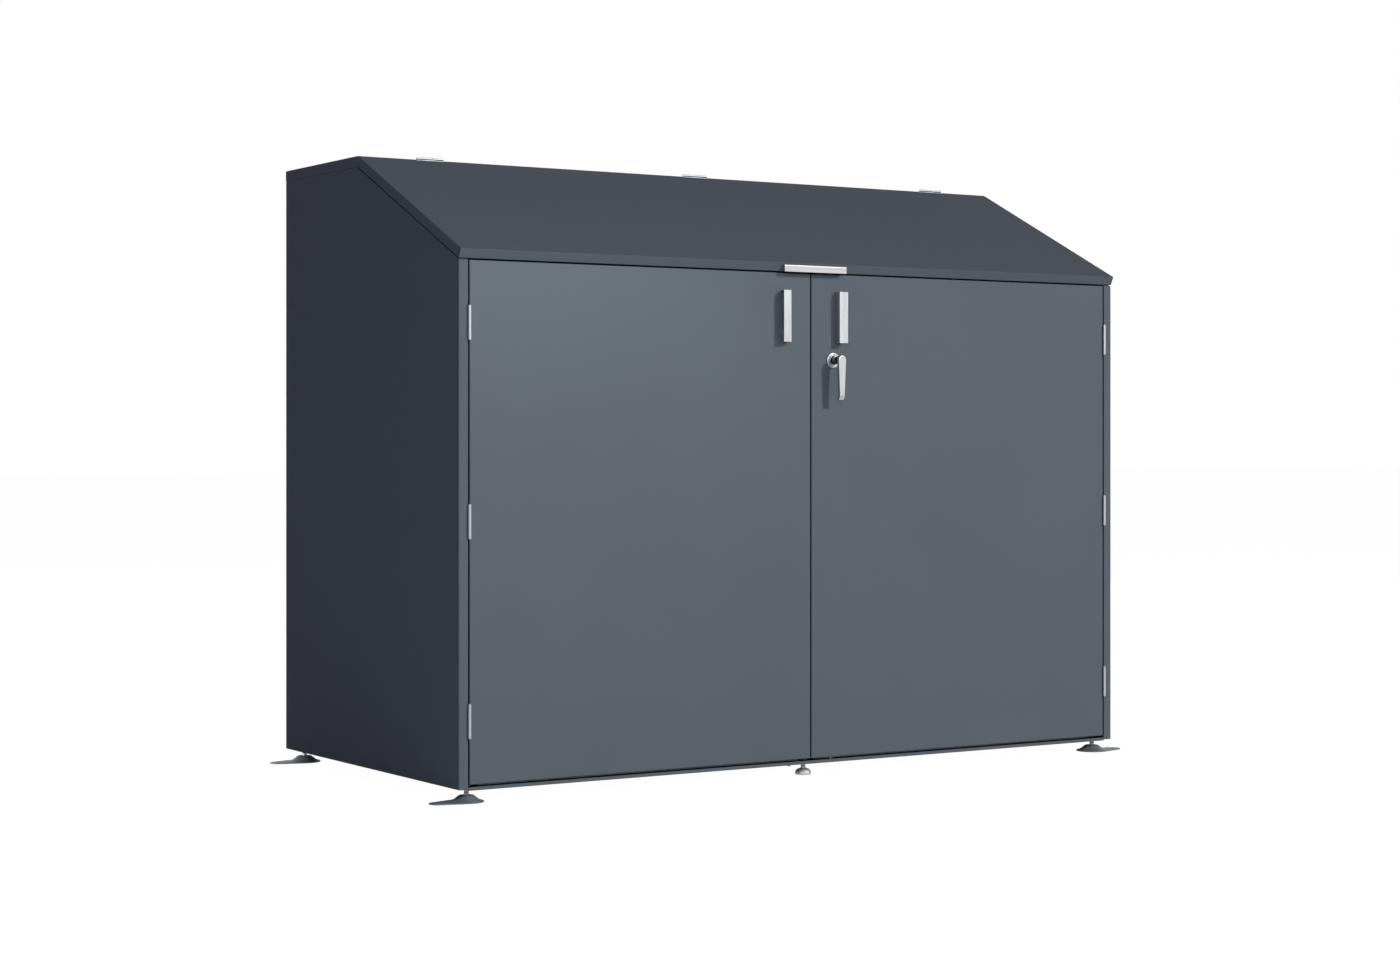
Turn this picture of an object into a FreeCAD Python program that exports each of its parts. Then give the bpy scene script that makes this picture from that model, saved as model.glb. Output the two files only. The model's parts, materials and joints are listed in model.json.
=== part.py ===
import FreeCAD, Part
import math
import os
import Sketcher

# Bicycle locker of folded sheet steel: a pentagonal cabinet with two front doors, a sloping lid
# hinged at the ridge of a flat rear roof, a lever lock with two rods, and six levelling feet.
# Cabinet coordinates, millimetres: X to the right from the middle, Y back from the front plane,
# Z up from the lower edge of the side panels. Every piece is placed by the cabinet's datum, so the
# finished model has its origin on the ground, under the middle of its box.

doc = FreeCAD.newDocument("bicycle_locker")
VECTOR = FreeCAD.Vector

SIZES = (
    ("cabinet_width", 2000, "outside of the two side panels"),
    ("cabinet_depth", 1000, "front plane to rear plane"),
    ("ridge_y", 553, "ridge behind the front plane"),
    ("lid_front_z", 1243, "lower front edge of the lid"),
    ("slope", 25.3, "lid slope in degrees"),
    ("lid_thick", 25, "lid, square to its slope"),
    ("seam", 3, "gap between lid and roof at the ridge"),
    ("lid_gap", 3.2, "gap under the lid, upright"),
    ("lid_lip", 20, "inward fold along the lid's lower edges"),
    ("sheet", 1.5, "folded steel sheet"),
    ("bend", 2.2, "outer bend radius"),
    ("post", 25, "folded post of the side panels, both ways"),
    ("door_gap", 3.5, "gap beside and between the doors"),
    ("door_thick", 25, "door cassette"),
    ("door_lip", 18, "inward fold at the back of doors and rear panels"),
    ("door_bottom", 11.2, "lower edge of the doors"),
    ("sill_top", 5.4, "upper face of the floor tray"),
    ("sill_fold", 8, "height of the tray's front fold"),
    ("tray_side_fold", 19, "upward folds at the tray's sides"),
    ("seat_gap", 0.3, "clearance between neighbouring panels"),
    ("stop_y", 25.6, "door stop behind the front plane"),
    ("stop_height", 26, "door stop above the tray"),
    ("stop_foot", 16, "foot of the door stop"),
    ("channel_width", 48, "middle channel under the tray"),
    ("channel_drop", 14, "lower edge of the channel under the panels"),
    ("channel_inset", 56, "ends of the channel inside the front and rear planes"),
    ("beam_deep", 50, "ridge beam, front to back"),
    ("beam_high", 38, "ridge beam, upright"),
    ("rib_wide", 80, "crown of the stiffening ribs"),
    ("rib_high", 17, "height of the stiffening ribs"),
    ("rib_flange", 15, "side flanges of the ribs"),
    ("rib_sheet", 1.2, "sheet of the ribs"),
    ("rib_end_gap", 30, "ribs end short of the cassette's rim"),
    ("side_rib_y", 640, "middle of the side panels' rib"),
    ("lid_rib_high", 14, "height of the lid's ribs"),
    ("hinge_long", 79, "door and lid hinges"),
    ("hinge_leaf", 1.25, "thickness of a hinge leaf"),
    ("leaf_deep", 22, "width of a hinge leaf"),
    ("knuckle_r", 3.8, "door hinge knuckle"),
    ("lid_knuckle_r", 3.2, "lid hinge knuckle"),
    ("pin_r", 1.8, "hinge pins"),
    ("pin_play", 0.05, "radial play of the pins"),
    ("hinge_low_z", 160, "lowest door hinge"),
    ("hinge_mid_z", 627, "middle door hinge"),
    ("hinge_high_z", 1093, "highest door hinge"),
    ("lid_hinge_x", 800, "outer lid hinges beside the middle"),
    ("pull_x", 73.5, "inner side of the door pulls"),
    ("pull_wide", 25, "door pulls across"),
    ("pull_deep", 24, "door pulls off the door"),
    ("pull_high", 130, "door pulls upright"),
    ("pull_rise", 109, "middle of the door pulls above the lock axis"),
    ("pull_foot", 21, "feet of the door pulls across"),
    ("pull_sheet", 2, "sheet of all pulls"),
    ("pull_bend", 4, "outer bend of all pulls"),
    ("lid_pull_long", 190, "lid pull across"),
    ("lid_pull_deep", 22, "lid pull in front of the front plane"),
    ("lid_pull_low", 1242, "lower edge of the lid pull"),
    ("lid_pull_high", 17.5, "lid pull upright"),
    ("lock_x", 67.5, "lock axis beside the middle"),
    ("lock_z", 1021.5, "lock axis height"),
    ("rosette_r", 19.6, "rosette"),
    ("rosette_high", 7, "rosette off the door"),
    ("rosette_step", 2.5, "raised ring of the rosette over its edge"),
    ("rosette_rim", 3.5, "edge of the rosette around the raised ring"),
    ("neck_r", 9, "neck of the lever"),
    ("lever_front", 44, "lever front off the door"),
    ("lever_thick", 8, "lever blade"),
    ("lever_top_r", 11.7, "round head of the lever"),
    ("lever_tip_wide", 15, "lever blade at its tip"),
    ("lever_long", 90, "lever from its axis to the bent tip"),
    ("lever_tip_long", 12, "bent tip"),
    ("lever_tip_bend", 32, "tip bend in degrees"),
    ("spindle_r", 5, "lock spindle"),
    ("turn_play", 0.1, "radial play of turning and sliding parts"),
    ("module", 2, "tooth module of the lock"),
    ("tooth_count", 12, "teeth of the lock pinion"),
    ("tooth_height", 1.3, "tooth above the pitch line"),
    ("tooth_root", 1.6, "tooth below the pitch line"),
    ("tooth_play", 0.25, "backlash of the lock teeth"),
    ("pinion_wide", 6, "lock pinion and racks"),
    ("rod_y", 11, "rods behind the front plane"),
    ("rod_r", 3, "lock rods"),
    ("rod_lead", 2, "rods above the door at rest"),
    ("rack_back", 6, "rack behind its teeth"),
    ("rack_reach", 34, "rack end from the lock axis"),
    ("rack_tail", 28.6, "rack behind the lock axis"),
    ("case_high", 70, "lock case upright"),
    ("case_back", 19, "back of the lock case behind the front plane"),
    ("bolt_x", 40, "bolts of the left door beside the middle"),
    ("bolt_r", 4, "bolts of the left door"),
    ("bolt_long", 150, "bolts of the left door"),
    ("bolt_inset", 2, "bolts inside the door's edges at rest"),
    ("guide_wide", 24, "rod and bolt guides"),
    ("guide_high", 12, "rod and bolt guides, upright"),
    ("keeper_long", 44, "keepers in the lid, across"),
    ("keeper_wide", 13, "keepers in the lid, up the slope"),
    ("keeper_thick", 2.5, "keepers in the lid"),
    ("foot_x", 38, "corner feet inside the side panels"),
    ("foot_y", 35.5, "feet inside the front and rear planes"),
    ("ground_gap", 33, "side panels above the ground"),
    ("stem_r", 6, "levelling stems"),
    ("stem_top", 24, "stem ends above the panels' lower edge"),
    ("nut_across", 19, "lock nuts across flats"),
    ("nut_high", 7, "lock nuts"),
    ("foot_plate", 5, "plates that carry the stems"),
    ("foot_plate_side", 50, "side of those plates"),
    ("pad_r", 42, "round part of the ground plates"),
    ("pad_thick", 2.5, "sheet of the ground plates"),
    ("hump_base_r", 31, "hump of the ground plates at its base"),
    ("hump_top_r", 18, "hump of the ground plates at its top"),
    ("hump_high", 16.5, "hump above the ground"),
    ("tongue_reach", 74, "tongue hole from the stem"),
    ("tongue_r", 22, "end radius of the tongue"),
    ("tongue_hole_r", 5.5, "anchor hole"),
    ("dome_r", 20.5, "middle feet"),
    ("dome_top_r", 12, "middle feet at the top"),
    ("dome_high", 16, "middle feet"),
    ("dome_rim", 6, "upright rim of the middle feet"),
    ("spring_x", 44, "gas springs inside the side panels"),
    ("spring_low_y", 640, "lower pivot of the gas springs"),
    ("spring_low_z", 1360, "lower pivot of the gas springs, height"),
    ("spring_lid_run", 140, "upper pivot from the ridge, down the slope"),
    ("spring_lid_drop", 25, "upper pivot under the lid"),
    ("cylinder_r", 9, "gas spring cylinder"),
    ("cylinder_long", 172, "gas spring cylinder"),
    ("piston_r", 4, "gas spring rod"),
    ("eye_r", 8, "gas spring eyes"),
    ("eye_thick", 11, "gas spring eyes"),
    ("stud_r", 4, "gas spring studs"),
    ("stud_collar", 3, "collar of the studs, over the stud"),
    ("cylinder_lead", 14, "gas spring cylinder from its pivot"),
    ("bracket_thick", 3, "plates of the lower gas spring brackets"),
    ("bracket_wide", 40, "plates of the lower gas spring brackets"),
    ("bracket_high", 44, "plates of the lower gas spring brackets, upright"),
    ("lug_foot", 36, "lugs under the lid at their foot"),
    ("lug_thick", 4, "lugs under the lid"),
    ("buffer_play", 0.35, "buffers above the side panels when the lid is shut"),
    ("buffer_long", 40, "rubber buffers along the slope"),
    ("buffer_wide", 14, "rubber buffers across"),
)

WORKED = (
    ("half", "Sizes.cabinet_width / 2"),
    ("foot_reach", "Sizes.foot_y - Sizes.pad_r"),
    ("front_y", "-(Sizes.cabinet_depth - foot_reach - Sizes.lever_front) / 2"),
    ("rise", "tan(Sizes.slope)"),
    ("roof_under", "Sizes.lid_front_z + Sizes.ridge_y * rise"),
    ("lid_upright", "Sizes.lid_thick / cos(Sizes.slope)"),
    ("roof_top", "roof_under + lid_upright"),
    ("panel_front_z", "Sizes.lid_front_z - Sizes.lid_gap"),
    ("door_top", "panel_front_z"),
    ("slope_end_y", "(roof_under - panel_front_z) / rise"),
    ("lid_end_y", "Sizes.ridge_y - Sizes.seam / 2"),
    ("roof_front_y", "Sizes.ridge_y + Sizes.seam / 2"),
    ("tray_half", "half - Sizes.post - Sizes.seat_gap"),
    ("tray_under", "Sizes.sill_top - Sizes.sheet"),
    ("door_outer", "half - Sizes.post - Sizes.door_gap"),
    ("door_inner", "Sizes.door_gap / 2"),
    ("hinge_x", "half - Sizes.post - Sizes.door_gap / 2"),
    ("hinge_y", "-Sizes.knuckle_r - Sizes.seat_gap"),
    ("lid_hinge_z", "roof_top + Sizes.lid_knuckle_r - 0.2"),
    ("pitch_r", "Sizes.module * Sizes.tooth_count / 2"),
    ("rod_travel", "pitch_r * pi / 2"),
    ("case_half", "pitch_r + Sizes.tooth_root + Sizes.rack_back + Sizes.seat_gap + Sizes.sheet"),
    ("rod_low_z", "Sizes.sill_top + Sizes.seat_gap"),
    ("rod_high_z", "door_top + Sizes.rod_lead"),
    ("pull_z", "Sizes.lock_z + Sizes.pull_rise"),
    ("buffer_thick", "Sizes.lid_gap * cos(Sizes.slope) - Sizes.buffer_play"),
    ("spring_high_y", "Sizes.ridge_y - Sizes.spring_lid_run * cos(Sizes.slope)"
     " + Sizes.spring_lid_drop * sin(Sizes.slope)"),
    ("spring_high_z", "roof_under - Sizes.spring_lid_run * sin(Sizes.slope)"
     " - Sizes.spring_lid_drop * cos(Sizes.slope)"),
)


def fill_sheets():
    sheet = doc.addObject("Spreadsheet::Sheet", "Sizes")
    for row, (name, value, note) in enumerate(SIZES, start=1):
        sheet.set("A%d" % row, name)
        sheet.set("B%d" % row, str(value))
        sheet.setAlias("B%d" % row, name)
        sheet.set("C%d" % row, note)
    worked = doc.addObject("Spreadsheet::Sheet", "Worked")
    for row, (name, formula) in enumerate(WORKED, start=1):
        worked.set("A%d" % row, name)
        worked.set("B%d" % row, "=" + formula)
        worked.setAlias("B%d" % row, name)
    doc.recompute()
    return sheet


SHEET = fill_sheets()


def value(expression):
    return float(SHEET.evalExpression(expression))


def bind(thing, **properties):
    for name, expression in properties.items():
        thing.setExpression(name.replace("__", "."), expression)
    return thing


def on_datum(thing):
    thing.setExpression("Placement.Base.y", "Worked.front_y")
    thing.setExpression("Placement.Base.z", "Sizes.ground_gap")
    return thing


NODES = []


def keep(thing, name):
    thing.Label = name
    on_datum(thing)
    NODES.append(thing)
    return thing


# Sketches and features of a body

def new_body(name):
    return doc.addObject("PartDesign::Body", name + "_body")


def origin_plane(body, role):
    for feature in body.Origin.OriginFeatures:
        if feature.Role == role:
            return feature


def new_sketch(body, plane, offset):
    sketch = body.newObject("Sketcher::SketchObject", "outline")
    sketch.AttachmentSupport = [(origin_plane(body, plane), "")]
    sketch.MapMode = "FlatFace"
    sketch.setExpression("AttachmentOffset.Base.z", offset)
    return sketch


def pin_point(sketch, index, which, expressions):
    for kind, expression in zip(("DistanceX", "DistanceY"), expressions):
        number = value(expression)
        rule = sketch.addConstraint(Sketcher.Constraint(kind, -1, 1, index, which, number))
        sketch.setExpression("Constraints[%d]" % rule, expression)


def polygon(body, plane, offset, corners):
    sketch = new_sketch(body, plane, offset)
    places = [VECTOR(value(x), value(y), 0) for x, y in corners]
    count = len(corners)
    for index in range(count):
        sketch.addGeometry(Part.LineSegment(places[index], places[(index + 1) % count]), False)
    for index in range(count):
        sketch.addConstraint(Sketcher.Constraint("Coincident", index, 2, (index + 1) % count, 1))
    for index, corner in enumerate(corners):
        pin_point(sketch, index, 1, corner)
    return sketch


def rectangle(body, plane, offset, low_x, low_y, high_x, high_y):
    corners = [(low_x, low_y), (high_x, low_y), (high_x, high_y), (low_x, high_y)]
    return polygon(body, plane, offset, corners)


def circle(body, plane, offset, centre, radius):
    sketch = new_sketch(body, plane, offset)
    place = VECTOR(value(centre[0]), value(centre[1]), 0)
    sketch.addGeometry(Part.Circle(place, VECTOR(0, 0, 1), value(radius)), False)
    pin_point(sketch, 0, 3, centre)
    rule = sketch.addConstraint(Sketcher.Constraint("Radius", 0, value(radius)))
    sketch.setExpression("Constraints[%d]" % rule, radius)
    return sketch


def extrude(body, kind, sketch, length, along):
    # along is 1 to grow with the plane's normal and -1 to grow against it
    feature = body.newObject("PartDesign::" + kind, kind.lower())
    feature.Profile = sketch
    feature.setExpression("Length", length)
    natural = 1 if kind == "Pad" else -1
    feature.Reversed = along != natural
    before = body.Shape.Volume if body.Shape and not body.Shape.isNull() else 0
    doc.recompute()
    if kind == "Pocket" and feature.Shape.Volume >= before:
        raise ValueError(body.Name + ": a pocket cuts nothing")
    return feature


def pad(body, sketch, length, along=1):
    return extrude(body, "Pad", sketch, length, along)


def pocket(body, sketch, length, along=-1):
    return extrude(body, "Pocket", sketch, length, along)


def round_edges(body, radius, chosen):
    tip = body.Tip
    names = ["Edge%d" % number for number, edge in enumerate(tip.Shape.Edges, start=1) if chosen(edge)]
    fillet = body.newObject("PartDesign::Fillet", "bends")
    fillet.Base = (tip, names)
    fillet.setExpression("Radius", radius)
    doc.recompute()
    return fillet


NEAR = 0.01


def lies_at(edge, axis, place):
    box = edge.BoundBox
    low = getattr(box, axis + "Min")
    high = getattr(box, axis + "Max")
    return abs(low - place) < NEAR and abs(high - place) < NEAR


def spans(edge, axis):
    box = edge.BoundBox
    return getattr(box, axis + "Max") - getattr(box, axis + "Min") > NEAR


# Primitives and booleans

def box(low, size):
    piece = doc.addObject("Part::Box", "block")
    bind(piece, Length=size[0], Width=size[1], Height=size[2])
    bind(piece, Placement__Base__x=low[0], Placement__Base__y=low[1], Placement__Base__z=low[2])
    return piece


TURNS = {
    "x": FreeCAD.Rotation(VECTOR(0, 1, 0), 90),
    "y": FreeCAD.Rotation(VECTOR(1, 0, 0), -90),
    "z": FreeCAD.Rotation(),
}


def cylinder(start, radius, length, axis):
    piece = doc.addObject("Part::Cylinder", "round")
    bind(piece, Radius=radius, Height=length)
    piece.Placement = FreeCAD.Placement(VECTOR(), TURNS[axis])
    bind(piece, Placement__Base__x=start[0], Placement__Base__y=start[1], Placement__Base__z=start[2])
    return piece


def fuse(pieces):
    joined = doc.addObject("Part::MultiFuse", "joined")
    joined.Shapes = pieces
    joined.Refine = True
    return joined


def cut(base, tools):
    result = doc.addObject("Part::Cut", "cut")
    result.Base = base
    result.Tool = tools[0] if len(tools) == 1 else fuse(tools)
    result.Refine = True
    return result


def mirrored(source):
    other = doc.addObject("Part::Mirroring", "mirrored")
    other.Source = source
    other.Normal = VECTOR(1, 0, 0)
    other.Base = VECTOR(0, 0, 0)
    return other


def keep_pair(thing, left_name, right_name):
    # the mirror image is taken before the left piece gets its place on the datum
    other = mirrored(thing)
    keep(thing, left_name)
    other.Label = right_name
    NODES.append(other)


# Folded cassettes

def cassette(name, plane, face, into, corners, thick, lip):
    # face is the place of the outer face along the plane's normal, into the way to the back
    body = new_body(name)
    low_x, low_y, high_x, high_y = corners
    sign = "+" if into > 0 else "-"

    def level(depth):
        return "%s %s (%s)" % (face, sign, depth)

    def inset(margin):
        return (low_x + " + " + margin, low_y + " + " + margin,
                high_x + " - " + margin, high_y + " - " + margin)

    pad(body, rectangle(body, plane, level("0"), *corners), thick, into)
    hollow = rectangle(body, plane, level("Sizes.sheet"), *inset("Sizes.sheet"))
    pocket(body, hollow, thick + " - 2 * Sizes.sheet", into)
    window = rectangle(body, plane, level(thick + " - Sizes.sheet"), *inset(lip))
    pocket(body, window, "2 * Sizes.sheet", into)
    return body


def fold_bends(body, axis, face, back, inward, outline):
    # outline gives the outer limits across the panel, for the two axes beside the normal
    outer = value(face)
    rear = value(back)
    step = value("Sizes.sheet") * inward

    def on_outline(edge, margin):
        for side, low, high in outline:
            if lies_at(edge, side, value(low) + margin) or lies_at(edge, side, value(high) - margin):
                return True
        return False

    def is_outer(edge):
        return lies_at(edge, axis, outer) or (lies_at(edge, axis, rear) and on_outline(edge, 0))

    def is_inner(edge):
        level = lies_at(edge, axis, outer + step) or lies_at(edge, axis, rear - step)
        return level and on_outline(edge, value("Sizes.sheet"))

    round_edges(body, "Sizes.bend", is_outer)
    round_edges(body, "Sizes.bend - Sizes.sheet", is_inner)


# Side panels

def sloped(place, under="0"):
    return "(Worked.panel_front_z + (%s) * Worked.rise - (%s) / cos(Sizes.slope))" % (place, under)


def side_outline(front, low, rear, top):
    return [
        (front, low),
        ("Sizes.cabinet_depth - " + rear, low),
        ("Sizes.cabinet_depth - " + rear, "Worked.roof_under - " + top),
        ("Worked.slope_end_y + (%s) * (1 / cos(Sizes.slope) - 1) / Worked.rise" % top,
         "Worked.roof_under - " + top),
        (front, sloped(front, top)),
    ]


def side_panel():
    body = new_body("side_panel")
    skin = "-Worked.half"
    inner = "-Worked.half + Sizes.post"
    pad(body, polygon(body, "YZ_Plane", skin, side_outline("0", "0", "0", "0")), "Sizes.post")
    fold = "Sizes.sheet"
    hollow = polygon(body, "YZ_Plane", inner + " - Sizes.sheet", side_outline(fold, fold, fold, fold))
    pocket(body, hollow, "Sizes.post - 2 * Sizes.sheet")
    post = "Sizes.post"
    window = polygon(body, "YZ_Plane", inner, side_outline(post, post, post, fold))
    pocket(body, window, "2 * Sizes.sheet")
    outer_x = value(skin)
    inner_x = value(inner)
    top_z = value("Worked.panel_front_z") - 1
    depth = value("Sizes.cabinet_depth")

    def is_outer(edge):
        if lies_at(edge, "X", outer_x):
            return True
        straight = lies_at(edge, "Y", 0) or lies_at(edge, "Y", depth) or lies_at(edge, "Z", 0)
        return lies_at(edge, "X", inner_x) and straight and edge.BoundBox.ZMin < top_z

    round_edges(body, "Sizes.bend", is_outer)
    return body


# Floor, sill and beams

def floor_tray():
    body = new_body("floor_tray")
    half = "Worked.tray_half"
    low = "Sizes.sill_top - Sizes.sill_fold"
    skin = rectangle(body, "XY_Plane", low, "-" + half, "0", half, "Sizes.cabinet_depth")
    pad(body, skin, "Sizes.sill_fold")
    under = rectangle(body, "XY_Plane", "Worked.tray_under", "-" + half + " - 1", "Sizes.sheet",
                      half + " + 1", "Sizes.cabinet_depth - Sizes.sheet")
    pocket(body, under, "Sizes.sill_fold")
    for side in ("-", ""):
        inner = "%s(%s - Sizes.sheet)" % (side, half)
        wall = rectangle(body, "XY_Plane", "Worked.tray_under", inner, "Sizes.post + 2",
                         side + half, "Sizes.cabinet_depth - Sizes.post - 2")
        pad(body, wall, "Sizes.tray_side_fold")
    top_z = value("Sizes.sill_top")
    depth = value("Sizes.cabinet_depth")

    def is_sill(edge):
        return lies_at(edge, "Z", top_z) and (lies_at(edge, "Y", 0) or lies_at(edge, "Y", depth))

    round_edges(body, "Sizes.bend / 2", is_sill)
    for x, radius in (("Sizes.lock_x", "Sizes.rod_r"), ("-Sizes.bolt_x", "Sizes.bolt_r")):
        hole = circle(body, "XY_Plane", "Sizes.sill_top", (x, "Sizes.rod_y"), radius + " + 0.5")
        pocket(body, hole, "2 * Sizes.sheet")
    for x, y in foot_places():
        hole = circle(body, "XY_Plane", "Sizes.sill_top", (x, y), "Sizes.stem_r + 1")
        pocket(body, hole, "2 * Sizes.sheet")
    return body


def foot_places():
    places = []
    for y in ("Sizes.foot_y", "(Sizes.cabinet_depth - Sizes.foot_y)"):
        for x in ("-(Worked.half - Sizes.foot_x)", "0", "(Worked.half - Sizes.foot_x)"):
            places.append((x, y))
    return places


def foot_plates():
    plates = []
    side = "Sizes.foot_plate_side"
    low = "Worked.tray_under - Sizes.foot_plate"
    for x, y in foot_places():
        if x == "0":
            start = "-%s / 2" % side
        elif x.startswith("-"):
            start = "-Worked.tray_half + 2"
        else:
            start = "Worked.tray_half - 2 - " + side
        near = "%s - %s / 2" % (y, side)
        plate = box((start, near, low), (side, side, "Sizes.foot_plate"))
        hole = cylinder((x, y, low + " - 1"), "Sizes.stem_r + Sizes.turn_play", "Sizes.foot_plate + 2", "z")
        plates.append(cut(plate, [hole]))
    return fuse(plates)


def underfloor_channel():
    body = new_body("underfloor_channel")
    half = "Sizes.channel_width / 2"
    top = "Worked.tray_under"
    corners = [
        ("-" + half, "-Sizes.channel_drop"),
        ("-%s + 2 * Sizes.sheet" % half, "-Sizes.channel_drop"),
        ("-%s + 2 * Sizes.sheet" % half, top + " - 2 * Sizes.sheet"),
        (half + " - 2 * Sizes.sheet", top + " - 2 * Sizes.sheet"),
        (half + " - 2 * Sizes.sheet", "-Sizes.channel_drop"),
        (half, "-Sizes.channel_drop"),
        (half, top),
        ("-" + half, top),
    ]
    profile = polygon(body, "XZ_Plane", "-(Sizes.foot_y + Sizes.foot_plate_side / 2 + 1)", corners)
    pad(body, profile, "Sizes.cabinet_depth - 2 * (Sizes.foot_y + Sizes.foot_plate_side / 2 + 1)", -1)
    top_z = value(top)

    def is_bend(edge):
        return lies_at(edge, "Z", top_z) and spans(edge, "Y") and not spans(edge, "X")

    round_edges(body, "Sizes.bend", is_bend)
    return body


def door_stop():
    body = new_body("door_stop")
    near = "Sizes.stop_y"
    corners = [
        (near, "Sizes.sill_top"),
        (near + " + Sizes.stop_foot", "Sizes.sill_top"),
        (near + " + Sizes.stop_foot", "Sizes.sill_top + Sizes.sheet"),
        (near + " + Sizes.sheet", "Sizes.sill_top + Sizes.sheet"),
        (near + " + Sizes.sheet", "Sizes.sill_top + Sizes.stop_height"),
        (near, "Sizes.sill_top + Sizes.stop_height"),
    ]
    profile = polygon(body, "YZ_Plane", "-(Worked.tray_half - Sizes.foot_x)", corners)
    pad(body, profile, "Worked.tray_half - Sizes.foot_x - Sizes.channel_width / 2")
    return fuse([body, mirrored(body)])


def ridge_beam():
    body = new_body("ridge_beam")
    near = "Worked.roof_front_y + 2"
    top = "Worked.roof_under - Sizes.seat_gap"
    low = top + " - Sizes.beam_high"
    deep = "Sizes.beam_deep"
    outer = rectangle(body, "YZ_Plane", "-Worked.tray_half", near, low, near + " + " + deep, top)
    pad(body, outer, "2 * Worked.tray_half")
    hollow = rectangle(body, "YZ_Plane", "-Worked.tray_half - 1", near + " + 2", low + " + 2",
                       near + " + " + deep + " - 2", top + " - 2")
    pocket(body, hollow, "2 * Worked.tray_half + 2", 1)
    near_y = value(near)
    far_y = value(near + " + " + deep)

    def is_corner(edge):
        return spans(edge, "X") and (lies_at(edge, "Y", near_y) or lies_at(edge, "Y", far_y))

    round_edges(body, "Sizes.bend", is_corner)
    return body


# Ribs

def rib(name, plane, offset, middle, base, height, length, along, out=1):
    # a hat profile: flanges on the skin, crown away from it; out is the way the crown points
    body = new_body(name)
    wide = "Sizes.rib_wide / 2"
    flange = "Sizes.rib_flange"
    slant = "Sizes.rib_high / 2"
    thin = "Sizes.rib_sheet"

    def up(height_text):
        return "%s %s (%s)" % (base, "+" if out > 0 else "-", height_text)

    def across(place):
        return "%s + %s" % (middle, place)

    corners = [
        (across("-(%s + %s + %s)" % (wide, slant, flange)), up("0")),
        (across("-(%s + %s)" % (wide, slant)), up("0")),
        (across("-(%s)" % wide), up(height + " - " + thin)),
        (across(wide), up(height + " - " + thin)),
        (across("%s + %s" % (wide, slant)), up("0")),
        (across("%s + %s + %s" % (wide, slant, flange)), up("0")),
        (across("%s + %s + %s" % (wide, slant, flange)), up(thin)),
        (across("%s + %s + %s" % (wide, slant, thin)), up(thin)),
        (across("%s + %s" % (wide, thin)), up(height)),
        (across("-(%s + %s)" % (wide, thin)), up(height)),
        (across("-(%s + %s + %s)" % (wide, slant, thin)), up(thin)),
        (across("-(%s + %s + %s)" % (wide, slant, flange)), up(thin)),
    ]
    pad(body, polygon(body, plane, offset, corners), length, along)
    return body


# Lid and roof

def lid_point(along, up):
    # along runs up the slope from the lower front edge, up is square to the slope
    y = "((%s) * cos(Sizes.slope) - (%s) * sin(Sizes.slope))" % (along, up)
    z = "(Sizes.lid_front_z + (%s) * sin(Sizes.slope) + (%s) * cos(Sizes.slope))" % (along, up)
    return y, z


def lid_end(inset, up):
    y = "(Worked.lid_end_y - (%s))" % inset
    return y, "(Sizes.lid_front_z + %s * Worked.rise + (%s) / cos(Sizes.slope))" % (y, up)


def lid_profile(front, rear, low, high):
    return [lid_point(front, low), lid_end(rear, low), lid_end(rear, high), lid_point(front, high)]


def lid():
    body = new_body("lid")
    thick = "Sizes.lid_thick"
    fold = "Sizes.sheet"
    pad(body, polygon(body, "YZ_Plane", "-Worked.half", lid_profile("0", "0", "0", thick)),
        "Sizes.cabinet_width")
    hollow = lid_profile(fold, fold, fold, "Sizes.lid_thick - Sizes.sheet")
    pocket(body, polygon(body, "YZ_Plane", "-Worked.half + Sizes.sheet", hollow),
           "Sizes.cabinet_width - 2 * Sizes.sheet", 1)
    lip = "Sizes.lid_lip"
    window = lid_profile(lip, lip, "-1", "2 * Sizes.sheet")
    pocket(body, polygon(body, "YZ_Plane", "-Worked.half + Sizes.lid_lip", window),
           "Sizes.cabinet_width - 2 * Sizes.lid_lip", 1)
    half = value("Worked.half")
    rise = value("Worked.rise")
    front_z = value("Sizes.lid_front_z")
    upright = value("Worked.lid_upright")

    def height(point):
        return point.z - front_z - point.y * rise

    def is_bend(edge):
        ends = [vertex.Point for vertex in edge.Vertexes]
        on_top = all(abs(height(point) - upright) < NEAR for point in ends)
        on_under = all(abs(height(point)) < NEAR for point in ends)
        at_rim = all(abs(abs(point.x) - half) < NEAR for point in ends)
        at_front = all(abs(point.y + height(point) * math.cos(math.atan(rise)) * math.sin(math.atan(rise)))
                       < NEAR for point in ends)
        return on_top or (on_under and (at_rim or at_front))

    round_edges(body, "Sizes.bend", is_bend)
    for x, radius in (("Sizes.lock_x", "Sizes.rod_r"), ("-Sizes.bolt_x", "Sizes.bolt_r")):
        hole = circle(body, "XY_Plane", "Sizes.lid_front_z + Sizes.lid_thick / 2 + Sizes.rod_y * Worked.rise",
                      (x, "Sizes.rod_y"), radius + " + 0.5")
        pocket(body, hole, "Sizes.lid_thick")
    return body


def slope_frame(thing, along, up, x):
    # stands a piece on the slope: its own X stays across, its own Y runs up the slope
    y, z = lid_point(along, up)
    thing.Placement = FreeCAD.Placement(VECTOR(), FreeCAD.Rotation(VECTOR(1, 0, 0), value("Sizes.slope")))
    bind(thing, Placement__Base__x=x, Placement__Base__y=y, Placement__Base__z=z)
    thing.setExpression("Placement.Rotation.Angle", "Sizes.slope")
    return thing


def slope_block(x, along, up, size):
    piece = doc.addObject("Part::Box", "block")
    bind(piece, Length=size[0], Width=size[1], Height=size[2])
    return slope_frame(piece, along, up, x)


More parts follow.
